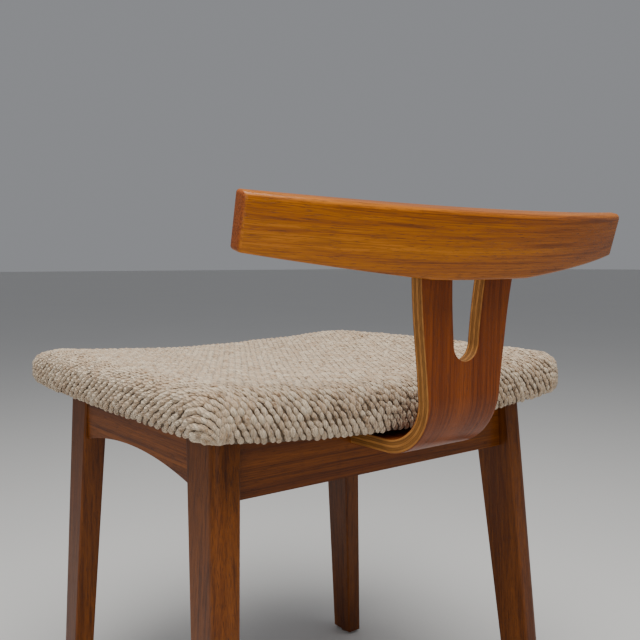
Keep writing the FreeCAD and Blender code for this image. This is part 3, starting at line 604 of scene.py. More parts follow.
def yarn_points(backing, form, settings):
    """A point for each loop of yarn: its place, the cloth's normal there and the loop's direction."""
    shift = 0.00055                     # how far loops stray from their rows
    slant_more, slant_spread = 0.06, 0.17
    step = 0.002                        # from a loop's middle on along it
    bare_edge = 0.002                   # the cloth's last stretch underneath, without loops
    lift = 0.0008                       # of a loop's middle off the backing
    rounds = settings.top_round + settings.foot_round
    wrap = rounds * math.pi / 2 + form.depth - rounds   # cloth from the top's flat part to its edge
    reach_x = form.half_width - settings.top_round + wrap
    reach_y = form.half_length - settings.top_round + wrap
    rows = np.arange(int(reach_y * 2 / settings.row_pitch))
    columns = np.arange(int(reach_x * 2 / settings.loop_pitch))
    row, column = (grid.ravel() for grid in np.meshgrid(rows, columns, indexing="ij"))
    u = (column + 0.5 * (row % 2)) * settings.loop_pitch - reach_x
    v = row * settings.row_pitch - reach_y
    chance = np.random.default_rng(settings.seed)
    u = u + chance.normal(0, shift, len(u))
    v = v + chance.normal(0, shift, len(v))
    slant = np.arctan2(settings.loop_pitch / 2, settings.row_pitch)
    slant = slant + chance.normal(slant_more, slant_spread, len(u))
    here, past = wrapped(form, settings, u, v)
    there, _ = wrapped(form, settings, u - np.sin(slant) * step, v + np.cos(slant) * step)
    keep = past < wrap - bare_edge
    surface = BVHTree.FromObject(backing, bpy.context.evaluated_depsgraph_get())
    places, normals, directions = [], [], []
    for point, onward in zip(here[keep], there[keep]):
        place, normal, _, _ = surface.find_nearest(Vector(point))
        direction = Vector(onward - point)
        direction = direction - normal * direction.dot(normal)
        if direction.length < 1e-6:
            direction = Vector((0, 1, 0))
        places.append(place + normal * lift)
        normals.append(normal)
        directions.append(direction.normalized())
    piece = new_piece("yarn_points", places, [])
    mesh = piece.data
    set_value(mesh, "cloth_normal", "FLOAT_VECTOR", normals)
    set_value(mesh, "yarn_direction", "FLOAT_VECTOR", directions)
    set_value(mesh, "shade", "FLOAT", chance.random(len(places)))
    set_value(mesh, "plump", "FLOAT", np.clip(chance.normal(1.0, 0.10, len(places)), 0.75, 1.25))
    return piece


def loop_of_yarn(tree, given):
    """One loop along X: a ball stretched to the loop's size, its ends bent down into the cloth."""
    ball = add_node(tree, "GeometryNodeMeshUVSphere", {"Segments": 8, "Rings": 6, "Radius": 0.5})
    store = add_node(tree, "GeometryNodeStoreNamedAttribute", {"Name": "strand"}, data_type="FLOAT2",
                     domain="CORNER")
    wire(tree, ball.outputs["Mesh"], store.inputs["Geometry"])
    wire(tree, ball.outputs["UV Map"], store.inputs["Value"])
    turn = add_node(tree, "GeometryNodeTransform", {"Rotation": (0.0, math.pi / 2, 0.0)})
    wire(tree, store.outputs[0], turn.inputs["Geometry"])
    size = tree.nodes.new("ShaderNodeCombineXYZ")
    for axis, label in enumerate(("Length", "Width", "Height")):
        wire(tree, given[label], size.inputs[axis])
    stretch = tree.nodes.new("GeometryNodeTransform")
    wire(tree, turn.outputs[0], stretch.inputs["Geometry"])
    wire(tree, size.outputs[0], stretch.inputs["Scale"])
    where = tree.nodes.new("GeometryNodeInputPosition")
    parts = tree.nodes.new("ShaderNodeSeparateXYZ")
    wire(tree, where.outputs[0], parts.inputs[0])
    square = maths(tree, "MULTIPLY", parts.outputs[0], parts.outputs[0])
    dip = maths(tree, "MULTIPLY", maths(tree, "MULTIPLY", square, given["Dive"]), -1.0)
    offset = tree.nodes.new("ShaderNodeCombineXYZ")
    wire(tree, dip, offset.inputs[2])
    bend = tree.nodes.new("GeometryNodeSetPosition")
    wire(tree, stretch.outputs[0], bend.inputs["Geometry"])
    wire(tree, offset.outputs[0], bend.inputs["Offset"])
    smooth = add_node(tree, "GeometryNodeSetShadeSmooth", {"Shade Smooth": True})
    wire(tree, bend.outputs[0], smooth.inputs["Geometry"])
    return smooth.outputs[0]


def point_value(tree, label, kind):
    """A value stored on the points."""
    reader = add_node(tree, "GeometryNodeInputNamedAttribute", {"Name": label}, data_type=kind)
    return next(socket for socket in reader.outputs if socket.enabled)


def loop_turn(tree):
    """The turn that lays a loop flat on the cloth and along its row's slant."""
    upright = add_node(tree, "FunctionNodeAlignRotationToVector", axis="Z")
    wire(tree, point_value(tree, "cloth_normal", "FLOAT_VECTOR"), upright.inputs["Vector"])
    turned = add_node(tree, "FunctionNodeAlignRotationToVector", axis="X", pivot_axis="Z")
    wire(tree, upright.outputs[0], turned.inputs["Rotation"])
    wire(tree, point_value(tree, "yarn_direction", "FLOAT_VECTOR"), turned.inputs["Vector"])
    return turned.outputs[0]


def loop_scale(tree, given):
    """Small differences between the loops in length, width and height."""
    least, most = (0.90, 0.88, 0.82), (1.12, 1.12, 1.18)
    varied = add_node(tree, "FunctionNodeRandomValue", {0: least, 1: most}, data_type="FLOAT_VECTOR")
    wire(tree, given["Seed"], varied.inputs["Seed"])
    sized = add_node(tree, "ShaderNodeVectorMath", operation="SCALE")
    wire(tree, varied.outputs[0], sized.inputs[0])
    wire(tree, point_value(tree, "plump", "FLOAT"), sized.inputs["Scale"])
    return sized.outputs[0]


def yarn_tree(settings, material):
    """Geometry Nodes: a plump bent loop of yarn on each point, turned to lie on the cloth."""
    dive = 46.0     # how sharply a loop's ends bend down
    tree = bpy.data.node_groups.new("yarn_loops", "GeometryNodeTree")
    sockets = {"Geometry": ("NodeSocketGeometry", None), "Length": ("NodeSocketFloat", settings.loop_length),
               "Width": ("NodeSocketFloat", settings.loop_width),
               "Height": ("NodeSocketFloat", settings.loop_height),
               "Dive": ("NodeSocketFloat", dive), "Seed": ("NodeSocketInt", settings.seed),
               "Material": ("NodeSocketMaterial", material)}
    for label, (kind, default) in sockets.items():
        socket = tree.interface.new_socket(label, in_out="INPUT", socket_type=kind)
        if default is not None:
            socket.default_value = default
    tree.interface.new_socket("Geometry", in_out="OUTPUT", socket_type="NodeSocketGeometry")
    given = tree.nodes.new("NodeGroupInput").outputs
    result = tree.nodes.new("NodeGroupOutput").inputs
    repeat = tree.nodes.new("GeometryNodeInstanceOnPoints")
    wire(tree, given["Geometry"], repeat.inputs["Points"])
    wire(tree, loop_of_yarn(tree, given), repeat.inputs["Instance"])
    wire(tree, loop_turn(tree), repeat.inputs["Rotation"])
    wire(tree, loop_scale(tree, given), repeat.inputs["Scale"])
    real = tree.nodes.new("GeometryNodeRealizeInstances")
    wire(tree, repeat.outputs[0], real.inputs[0])
    coat = tree.nodes.new("GeometryNodeSetMaterial")
    wire(tree, real.outputs[0], coat.inputs["Geometry"])
    wire(tree, given["Material"], coat.inputs["Material"])
    wire(tree, coat.outputs[0], result[0])
    return tree


def carried_out(piece, tree):
    """The piece's mesh after a Geometry Nodes tree, as a plain mesh."""
    modifier = piece.modifiers.new("Loops", "NODES")
    modifier.node_group = tree
    for item in tree.interface.items_tree:
        if item.in_out == "INPUT" and item.socket_type != "NodeSocketGeometry":
            modifier[item.identifier] = item.default_value
    mesh = evaluated_copy(piece)
    piece.modifiers.clear()
    return mesh


def wool_material(settings):
    """Loops of oatmeal wool: each its own shade, twisted strands with painted shade in their grooves, brown
    flecks and a soft sheen.
    """
    material, tree, shader = new_material("wool_weave", Sheen_Weight=0.35, Sheen_Roughness=0.5,
                                          Roughness=0.92, Specular_IOR_Level=0.18)
    shade = add_node(tree, "ShaderNodeAttribute", attribute_name="shade").outputs["Fac"]
    place = object_place(tree)
    strand = add_node(tree, "ShaderNodeUVMap", uv_map="strand")
    parts = tree.nodes.new("ShaderNodeSeparateXYZ")
    wire(tree, strand.outputs[0], parts.inputs[0])
    wound = maths(tree, "MULTIPLY_ADD", parts.outputs[0], 5.0, maths(tree, "MULTIPLY", parts.outputs[1], 3.0))
    twist = maths(tree, "SINE", maths(tree, "MULTIPLY", wound, math.tau))
    fibres = stretched_noise(tree, place, (1500, 1500, 1500), 3.0, 0.7)
    clouds = stretched_noise(tree, place, (38, 38, 38), 3.0, 0.6)
    flecks = stretched_noise(tree, place, (210, 210, 210), 1.0, 0.5)
    pale = mixed(tree, stepped(tree, shade, 0.0, 1.0), settings.oat, settings.cream)
    pale = mixed(tree, stepped(tree, clouds, 0.35, 0.7, 0.0, 0.45), pale, settings.oat)
    flecked = stepped(tree, shade, 0.2, 0.9, 0.75, 0.25)
    brown = maths(tree, "MULTIPLY", stepped(tree, flecks, 0.56, 0.70), flecked)
    brown = maths(tree, "ADD", brown, stepped(tree, shade, 0.955, 0.99, 0.0, 0.5))
    colour = mixed(tree, brown, pale, settings.fleck)
    colour = mixed(tree, stepped(tree, fibres, 0.3, 0.75, 0.30, 0.0), colour, settings.fleck)
    # painted shade: the twist's grooves, where the bump sinks, are darkened towards the fleck brown
    colour = mixed(tree, stepped(tree, twist, -1.0, 0.4, 0.22, 0.0), colour, settings.fleck)
    wire(tree, colour, shader["Base Color"])
    lift = maths(tree, "MULTIPLY_ADD", twist, 0.5, fibres)
    bumped(tree, lift, shader["Normal"], 0.0011)
    return material


def backing_material(settings):
    """The ground of the weave between the loops, painted far darker than the wool as shade in the gaps
    between the loops.
    """
    material, tree, shader = new_material("wool_ground_painted_shade", Roughness=0.95, Specular_IOR_Level=0.1,
                                          Sheen_Weight=0.1)
    weave = use_group(tree, thread_weave_group(), {"Vector": object_place(tree), "Threads": 1800.0})
    # painted shade: the ground takes the fleck and oat tones cut to about a third and a fifth, for the shade
    # between the loops
    wire(tree, mixed(tree, weave["Mask"], toned(settings.fleck, 0.35), toned(settings.oat, 0.22)),
         shader["Base Color"])
    bumped(tree, weave["Height"], shader["Normal"], 0.0004)
    return material


# ---------------------------------------------------------------- splat

class SplatForm:
    """The splat's line from the side and its outline; its ends come from the plies' boxes."""
    bend_radius = 0.060     # of the rear face, where the foot turns up into the back
    bend_y = 0.1855         # where the bend starts
    slope = 0.014           # lean of the straight upright part
    bow_start = 0.515       # heights at which the bow starts and gets tighter
    bow_change = 0.563
    lower_bow = 0.600       # radii of the bow's two stretches
    upper_bow = 0.300
    foot_end = 0.415        # heights and half widths of the outline
    waist = 0.496
    outline_top = 0.624
    half_foot = 0.045
    half_waist = 0.0526
    half_top = 0.068
    flare = 1.100           # radius of the sides between the foot and the waist
    notch_centre = 0.503    # the slot's round foot, and half its width at the outline's top
    notch_radius = 0.017
    notch_mouth = 0.0280
    thickness = 0.014

    def __init__(self):
        rear_low, rear_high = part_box("splat_rear_ply")
        front_low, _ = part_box("splat_front_ply")
        self.low = rear_low[2]
        self.front = min(rear_low[1], front_low[1])
        self.top = rear_high[2]
        self.line = self.side_line()
        moves = np.diff(self.line[:, :2], axis=0)
        self.run = np.concatenate([[0], np.cumsum(np.hypot(moves[:, 0], moves[:, 1]))])

    def side_line(self):
        """Points (y, z) of the rear face with their normals to the front, closely spaced."""
        lean = math.atan(self.slope)
        step = 0.0015
        points = []
        y = self.front
        while y < self.bend_y:
            points.append((y, self.low, 0.0, 1.0))
            y += step * 2
        bend_z = self.low + self.bend_radius
        for angle in np.linspace(-math.pi / 2, -lean, 60):
            cos, sin = math.cos(angle), math.sin(angle)
            points.append((self.bend_y + self.bend_radius * cos, bend_z + self.bend_radius * sin, -cos, -sin))
        y, z, _, _ = points[-1]
        angle = lean
        while z < self.top - 1e-6:
            if z >= self.bow_change:
                angle += step / self.upper_bow
            elif z >= self.bow_start:
                angle += step / self.lower_bow
            move = min(step, (self.top - z) / math.cos(angle))
            y += math.sin(angle) * move
            z += math.cos(angle) * move
            points.append((y, z, -math.cos(angle), math.sin(angle)))
        return np.array(points)

    def half_width(self, z):
        """Half the splat's width at a height."""
        if z <= self.foot_end:
            return self.half_foot
        if z >= self.waist:
            share = (z - self.waist) / (self.outline_top - self.waist)
            return self.half_waist + share * (self.half_top - self.half_waist)
        span = Vector((self.half_waist - self.half_foot, self.waist - self.foot_end))
        share = (z - self.foot_end) / span.y
        sag = share * (1 - share) * span.length ** 2 / (2 * self.flare)
        return self.half_foot + share * span.x - sag

    def half_notch(self, z):
        """Half the slot's width at a height."""
        if z <= self.notch_centre - self.notch_radius:
            return 0.0
        if z < self.notch_centre:
            return math.sqrt(self.notch_radius ** 2 - (self.notch_centre - z) ** 2)
        share = (z - self.notch_centre) / (self.outline_top - self.notch_centre)
        return self.notch_radius + (self.notch_mouth - self.notch_radius) * share


def splat_stations(form):
    """The splat's cross-sections: y, z and normal, closer together round the foot of the slot."""
    z = form.line[:, 1]

    def run_at(height):
        """Length along the splat at a height of its upright part."""
        return np.interp(height, z, form.run)

    bend_start = form.bend_y - form.front
    bend_end = run_at(form.low + form.bend_radius)
    notch_low = run_at(form.notch_centre - form.notch_radius)
    turns = [run_at(form.notch_centre - form.notch_radius * math.cos(angle))
             for angle in np.linspace(0, math.pi / 2, 14)]
    wanted = np.concatenate([
        np.linspace(0, bend_start, 44)[:-1],
        np.linspace(bend_start, bend_end, 46)[:-1],
        np.linspace(bend_end, notch_low, 16)[:-1],
        turns,
        np.linspace(run_at(form.notch_centre), form.run[-1], 40)[1:]])
    return np.column_stack([np.interp(wanted, form.run, form.line[:, axis]) for axis in range(4)])


def splat_grid(form):
    """Points and faces of the bent board with its slot, open at the top."""
    stations = splat_stations(form)
    edge = 12       # the last column of a half, with the slot or the middle as column 0
    levels = 6
    points, index, faces = [], {}, []

    def point(station, level, side, column):
        """The number of a grid point, made once."""
        y, z, normal_y, normal_z = stations[station]
        notch = form.half_notch(z)
        middle = notch == 0.0 and column == 0
        key = (station, level, 0 if middle else side, column)
        if key not in index:
            depth = form.thickness * level / levels
            x = side * (notch + (form.half_width(z) - notch) * column / edge)
            index[key] = len(points)
            points.append((x, y + normal_y * depth, z + normal_z * depth))
        return index[key]

    def quad(side, *corners):
        """Adds a face between four places, leaving out repeated corners."""
        unique = list(dict.fromkeys(point(station, level, side, column)
                                    for station, level, column in corners))
        if len(unique) > 2:
            faces.append(unique)

    last = len(stations) - 1
    notch_first = next(i for i, row in enumerate(stations) if form.half_notch(row[1]) > 0.0) - 1
    for side in (1, -1):
        for station in range(last):
            after = station + 1
            for column in range(edge):
                for level in (0, levels):
                    quad(side, (station, level, column), (after, level, column), (after, level, column + 1),
                         (station, level, column + 1))
            for level in range(levels):
                for column in (edge, 0) if station >= notch_first else (edge,):
                    quad(side, (station, level, column), (after, level, column), (after, level + 1, column),
                         (station, level + 1, column))
        for station in (0, last):
            for column in range(edge):
                for level in range(levels):
                    quad(side, (station, level, column), (station, level, column + 1),
                         (station, level + 1, column + 1), (station, level + 1, column))
    return points, faces


def bevel_edges(mesh, arris):
    """Turns the faces outwards and bevels every sharp edge."""
    work = bmesh.new()
    work.from_mesh(mesh)
    bmesh.ops.remove_doubles(work, verts=work.verts, dist=1e-6)
    bmesh.ops.recalc_face_normals(work, faces=work.faces)
    sharp = [edge for edge in work.edges if len(edge.link_faces) == 2 and edge.calc_face_angle() > 1.0]
    bmesh.ops.bevel(work, geom=sharp, offset=arris, segments=2, profile=0.5, affect="EDGES",
                    clamp_overlap=True)
    work.to_mesh(mesh)
    work.free()


def build_splat(form, arris):
    """The bent board, with each point's place along, across and into the board before it was bent."""
    piece = new_piece("bent_splat", *splat_grid(form))
    bevel_edges(piece.data, arris)
    board = []
    for x, y, z in coordinates(piece.data):
        offset_y, offset_z = y - form.line[:, 0], z - form.line[:, 1]
        nearest = np.argmin(offset_y ** 2 + offset_z ** 2)
        depth = offset_y[nearest] * form.line[nearest, 2] + offset_z[nearest] * form.line[nearest, 3]
        board.append((form.run[nearest], x, depth))
    set_value(piece.data, "board", "FLOAT_VECTOR", board)
    sharpen(piece.data, math.radians(35))
    return piece


def splat_material(settings, form):
    """Lacquered veneer along the splat, and plies with glue lines at its edges."""
    material, tree, shader = new_material("splat_laminate", Coat_Weight=0.06, Coat_Roughness=0.2,
                                          Specular_IOR_Level=0.16)
    board = add_node(tree, "ShaderNodeAttribute", attribute_name="board").outputs["Vector"]
    grain = use_group(tree, wood_grain_group(),
                      {"Vector": board, "Pale": settings.veneer, "Deep": settings.veneer_deep,
                       "Streak": (0.05, 0.013, 0.006), "Streaks": 0.55, "Fineness": 1.25, "Gloss": 0.30})
    parts = tree.nodes.new("ShaderNodeSeparateXYZ")
    wire(tree, board, parts.inputs[0])
    depth = maths(tree, "DIVIDE", parts.outputs[2], form.thickness)
    plies = use_group(tree, ply_stack_group(),
                      {"Depth": depth, "Plies": 5.0, "Vector": board, "Ply": settings.ply,
                       "Cross Ply": toned(settings.ply, 0.6),
                       "Glue": (0.07, 0.022, 0.010)})
    from_middle = maths(tree, "ABSOLUTE", maths(tree, "SUBTRACT", depth, 0.5))
    on_edge = stepped(tree, from_middle, 0.445, 0.47, 1.0, 0.0)
    colour = mixed(tree, on_edge, grain["Color"], plies["Color"])
    wire(tree, colour, shader["Base Color"])
    rough = maths(tree, "MULTIPLY_ADD", on_edge, 0.10, grain["Roughness"])
    wire(tree, rough, shader["Roughness"])
    lift = maths(tree, "ADD", grain["Height"], plies["Height"])
    bumped(tree, lift, shader["Normal"], 0.00012)
    return material


# ---------------------------------------------------------------- back rail

class RailForm:
    """The bowed, leaning board of the back rail in its own frame."""
    origin = Vector((0.0, 0.2497, 0.6305))
    lean = math.radians(14.7)
    bow = 0.0362            # rise of the rear face over its ends
    middle_thickness = 0.025
    end_thickness = 0.014
    middle_depth = 0.0614
    end_depth = 0.0465
    flat_half = 0.062       # half the level middle of the lower edge
    draft = 0.001           # how far each end is drawn in at its foot
    grain_bow = 0.92        # how much of the bow the grain follows

    def __init__(self):
        _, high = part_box("back_rail")
        self.half_length = high[0]

    @staticmethod
    def arc(x, half, rise):
        """Height of a shallow arc over its chord."""
        radius = (half ** 2 + rise ** 2) / (2 * rise)
        return math.sqrt(max(radius ** 2 - x ** 2, 0.0)) - (radius - rise)

    def section(self, x):
        """Front face, rear face and foot of the board at x."""
        rear = self.arc(x, self.half_length, self.bow)
        front_rise = self.bow - self.middle_thickness + self.end_thickness
        front = self.arc(x, self.half_length, front_rise) - self.end_thickness
        beyond = max(abs(x) - self.flat_half, 0.0)
        span = self.half_length - self.draft - self.flat_half
        foot = -self.middle_depth + (self.middle_depth - self.end_depth) * min(beyond / span, 1.0)
        return front, rear, foot


def rounded_corners(corners, radii, steps):
    """Points round a four-sided section with a radius at each corner."""
    points = []
    for number, radius in enumerate(radii):
        here = Vector(corners[number])
        before = (Vector(corners[number - 1]) - here).normalized()
        after = (Vector(corners[(number + 1) % 4]) - here).normalized()
        half_angle = before.angle(after) / 2
        reach = radius / math.tan(half_angle)
        start, end = here + before * reach, here + after * reach
        centre = here + (before + after).normalized() * (radius / math.sin(half_angle))
        first, last = start - centre, end - centre
        turn = first.angle_signed(last)
        for step in range(steps + 1):
            share = step / steps
            arm = Matrix.Rotation(-turn * share, 2) @ first
            points.append(centre + arm)
    return points


def rail_stations(form, arris):
    """Places along the rail, each with how far its section is drawn in, for rounded ends."""
    inner = form.half_length - arris
    closing = [(inner + arris * math.sin(angle), arris * (1 - math.cos(angle)))
               for angle in np.linspace(0, math.pi / 2, 7)[1:]]
    stations = [(-x, drawn_in) for x, drawn_in in closing[::-1]]
    stations.extend((x, 0.0) for x in np.linspace(-inner, inner, 121))
    return stations + closing


def build_back_rail(form, settings):
    """The board lofted through rounded sections, its ends drawn in to rounded arrises."""
    steps = 5
    end_zone = 0.03         # the stretch at each end over which the draft comes in
    least_radius = (0.0008, 0.0006, 0.0006, 0.0006)
    radii = (settings.rear_arris, settings.arris, settings.arris, settings.arris)
    stations = rail_stations(form, settings.arris)
    turn = Matrix.Rotation(-form.lean, 3, "X")
    points, board = [], []
    for x, drawn_in in stations:
        front, rear, foot = form.section(x)
        front, rear, foot = front + drawn_in, rear - drawn_in, foot + drawn_in
        corners = [(rear, -drawn_in), (front, -drawn_in), (front, foot), (rear, foot)]
        rounds = [max(radius - drawn_in, least) for radius, least in zip(radii, least_radius)]
        side = max(abs(x) - form.half_length + end_zone, 0.0) / end_zone
        for y, z in rounded_corners(corners, rounds, steps):
            draft = form.draft * side * z / -form.end_depth
            local = Vector((x - math.copysign(draft, x), y, z))
            points.append(form.origin + turn @ local)
            board.append((local.x, local.y - form.grain_bow * (rear + drawn_in), local.z))
    piece = new_piece("bowed_back_rail", points, ring_faces(len(stations), 4 * (steps + 1)))
    mesh = piece.data
    set_value(mesh, "board", "FLOAT_VECTOR", board)
    work = bmesh.new()
    work.from_mesh(mesh)
    bmesh.ops.recalc_face_normals(work, faces=work.faces)
    work.to_mesh(mesh)
    work.free()
    sharpen(mesh, math.radians(40))
    return piece


def back_rail_material(settings, form):
    """Golden teak with dark streaks along the rail and redder end grain."""
    material, tree, shader = new_material("back_rail_teak", Coat_Weight=0.2, Coat_Roughness=0.16,
                                          Specular_IOR_Level=0.2)
    board = add_node(tree, "ShaderNodeAttribute", attribute_name="board").outputs["Vector"]
    grain = use_group(tree, wood_grain_group(),
                      {"Vector": board, "Pale": settings.gold, "Deep": settings.amber,
                       "Streak": settings.streak, "Streaks": 0.5, "Fineness": 1.3, "Gloss": 0.30})
    parts = tree.nodes.new("ShaderNodeSeparateXYZ")
    wire(tree, board, parts.inputs[0])
    reach = maths(tree, "ABSOLUTE", parts.outputs[0])
    at_end = stepped(tree, reach, form.half_length - 0.0022, form.half_length - 0.0008)
    pores = stretched_noise(tree, board, (300, 900, 900), 2.0)
    end_grain = mixed(tree, stepped(tree, pores, 0.35, 0.7), (0.33, 0.085, 0.018), (0.15, 0.036, 0.008))
    wire(tree, mixed(tree, at_end, grain["Color"], end_grain), shader["Base Color"])
    wire(tree, grain["Roughness"], shader["Roughness"])
    bumped(tree, grain["Height"], shader["Normal"], 0.00012)
    return material


# ---------------------------------------------------------------- operators

class CHAIR_OT_legs(bpy.types.Operator):
    """Finish the four legs in oiled teak, each with its own stretch of grain"""
    bl_idname = "chair.legs"
    bl_label = "Legs"

    def execute(self, context):
        wood = context.scene.chair_wood
        names = ("rear_leg_left", "rear_leg_right", "front_leg_left", "front_leg_right")
        for number, name in enumerate(names):
            # painted shade: the legs keep the darker copy of the frame's teak, the rails a lighter copy
            teak = oiled_wood(name + "_teak", ALONG_Z, wood.pale, wood.deep, wood.streak, streaks=0.35,
                              fineness=1.2, coat=0.1, shift=(0.37 * number, 0.21 * number, 0.0))
            finish_node(name, teak)
        return {"FINISHED"}


class CHAIR_OT_rails(bpy.types.Operator):
    """Finish the four rails of the frame in teak and the splat rail in beech, with the grain along each"""
    bl_idname = "chair.rails"
    bl_label = "Rails"

    def execute(self, context):
        wood = context.scene.chair_wood
        # painted light and shade: the rails take the legs' teak made 1.35 times lighter, so the legs' darker
        # copy is painted shade and the rails' lighter one painted light
        pale, deep = toned(wood.pale, 1.35), toned(wood.deep, 1.35)
        turns = {"rear_rail": ALONG_X, "front_rail": ALONG_X, "side_rail_left": ALONG_Y,
                 "side_rail_right": ALONG_Y}
        for number, (name, turn) in enumerate(turns.items()):
            teak = oiled_wood(name + "_teak", turn, pale, deep, wood.streak, streaks=0.4, fineness=1.2,
                              gloss=0.38, coat=0.1, shift=(0.29 * number, 0.17 * number, 0.1))
            finish_node(name, teak)
        beech = oiled_wood("splat_rail_beech", ALONG_X, wood.beech_pale, wood.beech_deep, (0.30, 0.16, 0.08),
                           streaks=0.15, fineness=1.6, gloss=0.55, coat=0.0)
        finish_node("splat_rail", beech)
        return {"FINISHED"}


class CHAIR_OT_joinery(bpy.types.Operator):
    """Finish the corner blocks, dowels, plugs, screws, staples and glides"""
    bl_idname = "chair.joinery"
    bl_label = "Joinery and fixings"

    def execute(self, context):
        wood = context.scene.chair_wood
        beech = oiled_wood("planed_beech", ALONG_X, wood.beech_pale, wood.beech_deep, (0.32, 0.18, 0.09),
                           streaks=0.15, fineness=1.8, gloss=0.58, coat=0.0)
        plug = oiled_wood("plug_teak", ALONG_Z, wood.pale, wood.deep, wood.streak, streaks=0.4,
                          fineness=1.5, coat=0.3)
        steel = self.zinc_steel()
        finishes = {
            "front_corner_block_left": beech, "front_corner_block_right": beech,
            "rear_corner_block_left": beech, "rear_corner_block_right": beech, "rail_dowels": beech,
            "splat_screw_plugs": plug, "back_rail_screws": steel, "corner_block_screws": steel,
            "seat_fixing_screws": steel, "splat_rail_screws": steel, "cover_staples": steel,
            "foot_glides": self.glide_plastic()}
        for name, material in finishes.items():
            finish_node(name, material)
        return {"FINISHED"}

    @staticmethod
    def zinc_steel():
        """Zinc plate with a mottled bloom and fine scratches."""
        material, tree, shader = new_material("zinc_steel", Metallic=1.0)
        place = object_place(tree)
        bloom = stretched_noise(tree, place, (260, 260, 260), 3.0)
        scratch = stretched_noise(tree, place, (60, 2600, 2600), 1.0)
        wire(tree, mixed(tree, bloom, (0.66, 0.66, 0.64), (0.47, 0.47, 0.45)), shader["Base Color"])
        wire(tree, stepped(tree, scratch, 0.3, 0.7, 0.26, 0.46), shader["Roughness"])
        bumped(tree, scratch, shader["Normal"], 0.00003)
        return material

    @staticmethod
    def glide_plastic():
        """Moulded brown plastic, scuffed where it meets the floor."""
        material, tree, shader = new_material("glide_plastic", Specular_IOR_Level=0.4)
        place = object_place(tree)
        pebble = stretched_noise(tree, place, (1400, 1400, 1400), 1.0)
        scuff = stretched_noise(tree, place, (90, 400, 90), 2.0)
        worn = stepped(tree, scuff, 0.5, 0.75, 0.0, 0.5)
        wire(tree, mixed(tree, worn, (0.10, 0.065, 0.045), (0.26, 0.21, 0.17)), shader["Base Color"])
        wire(tree, stepped(tree, scuff, 0.3, 0.7, 0.45, 0.7), shader["Roughness"])
        bumped(tree, pebble, shader["Normal"], 0.00005)
        return material


class CHAIR_OT_seat_underside(bpy.types.Operator):
    """Finish the moulded shell and the dust cloth"""
    bl_idname = "chair.seat_underside"
    bl_label = "Underside of the seat"

    def execute(self, context):
        wood = context.scene.chair_wood
        material, tree, shader = new_material("seat_plywood", Roughness=0.6)
        place = object_place(tree)
        parts = tree.nodes.new("ShaderNodeSeparateXYZ")
        wire(tree, place, parts.inputs[0])
        plies_in_a_metre = 666.0
        plies = use_group(tree, ply_stack_group(),
                          {"Depth": parts.outputs[2], "Plies": plies_in_a_metre, "Vector": place,
                           "Ply": wood.beech_pale, "Cross Ply": wood.beech_deep,
                           "Glue": (0.20, 0.11, 0.055)})
        wire(tree, plies["Color"], shader["Base Color"])
        bumped(tree, plies["Height"], shader["Normal"], 0.0001)
        finish_node("seat_shell", material)
        finish_node("seat_dust_cloth", self.dust_cloth())
        return {"FINISHED"}

    @staticmethod
    def dust_cloth():
        """Thin black bonded cloth with its fibres showing."""
        material, tree, shader = new_material("dust_cloth", Roughness=0.9, Sheen_Weight=0.15)
        place = object_place(tree)
        weave = use_group(tree, thread_weave_group(), {"Vector": place, "Threads": 2600.0})
        fibres = stretched_noise(tree, place, (900, 240, 900), 3.0, 0.7, 2.0)
        base = mixed(tree, weave["Mask"], (0.010, 0.010, 0.011), (0.030, 0.030, 0.032))
        colour = mixed(tree, stepped(tree, fibres, 0.55, 0.72), base, (0.075, 0.075, 0.078))
        wire(tree, colour, shader["Base Color"])
        bumped(tree, fibres, shader["Normal"], 0.0002)
        return material


class CHAIR_OT_seat(bpy.types.Operator):
    """Make the wool seat: an inflated backing covered with rows of slanting yarn loops"""
    bl_idname = "chair.seat"
    bl_label = "Wool seat"

    def execute(self, context):
        settings = context.scene.chair_seat
        form = SeatForm(settings)
        backing = remeshed(seat_backing(form, settings), settings.voxel)
        inflate(backing, form, settings)
        soften(backing, form)
        finer = backing.modifiers.new("Finer", "SUBSURF")
        finer.levels = finer.render_levels = 1
        backing.data = evaluated_copy(backing)
        backing.modifiers.clear()
        backing.data.materials.clear()
        backing.data.materials.append(backing_material(settings))
        loops = yarn_points(backing, form, settings)
        loops.data = carried_out(loops, yarn_tree(settings, wool_material(settings)))
        self.join(context, backing, loops)
        backing.name = "wool_seat"
        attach(backing, "root")
        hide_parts("seat_cover", "seat_foam")
        return {"FINISHED"}

    @staticmethod
    def join(context, target, other):
        """Makes the two meshes one piece."""
        for piece in context.selected_objects:
            piece.select_set(False)
        target.select_set(True)
        other.select_set(True)
        context.view_layer.objects.active = target
        if bpy.ops.object.join() != {"FINISHED"}:
            raise RuntimeError("the loops couldn't be joined to the seat")


class CHAIR_OT_splat(bpy.types.Operator):
    """Make the bent splat in place of its three plain layers"""
    bl_idname = "chair.splat"
    bl_label = "Bent splat"

    def execute(self, context):
        settings = context.scene.chair_back
        form = SplatForm()
        piece = build_splat(form, settings.splat_arris)
        piece.data.materials.append(splat_material(settings, form))
        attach(piece, "root")
        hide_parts("splat_core", "splat_rear_ply", "splat_front_ply")
        return {"FINISHED"}


class CHAIR_OT_back_rail(bpy.types.Operator):
    """Make the bowed back rail with its soft arrises"""
    bl_idname = "chair.back_rail"
    bl_label = "Back rail"

    def execute(self, context):
        settings = context.scene.chair_back
        form = RailForm()
        piece = build_back_rail(form, settings)
        piece.data.materials.append(back_rail_material(settings, form))
        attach(piece, "root")
        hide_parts("back_rail")
        return {"FINISHED"}


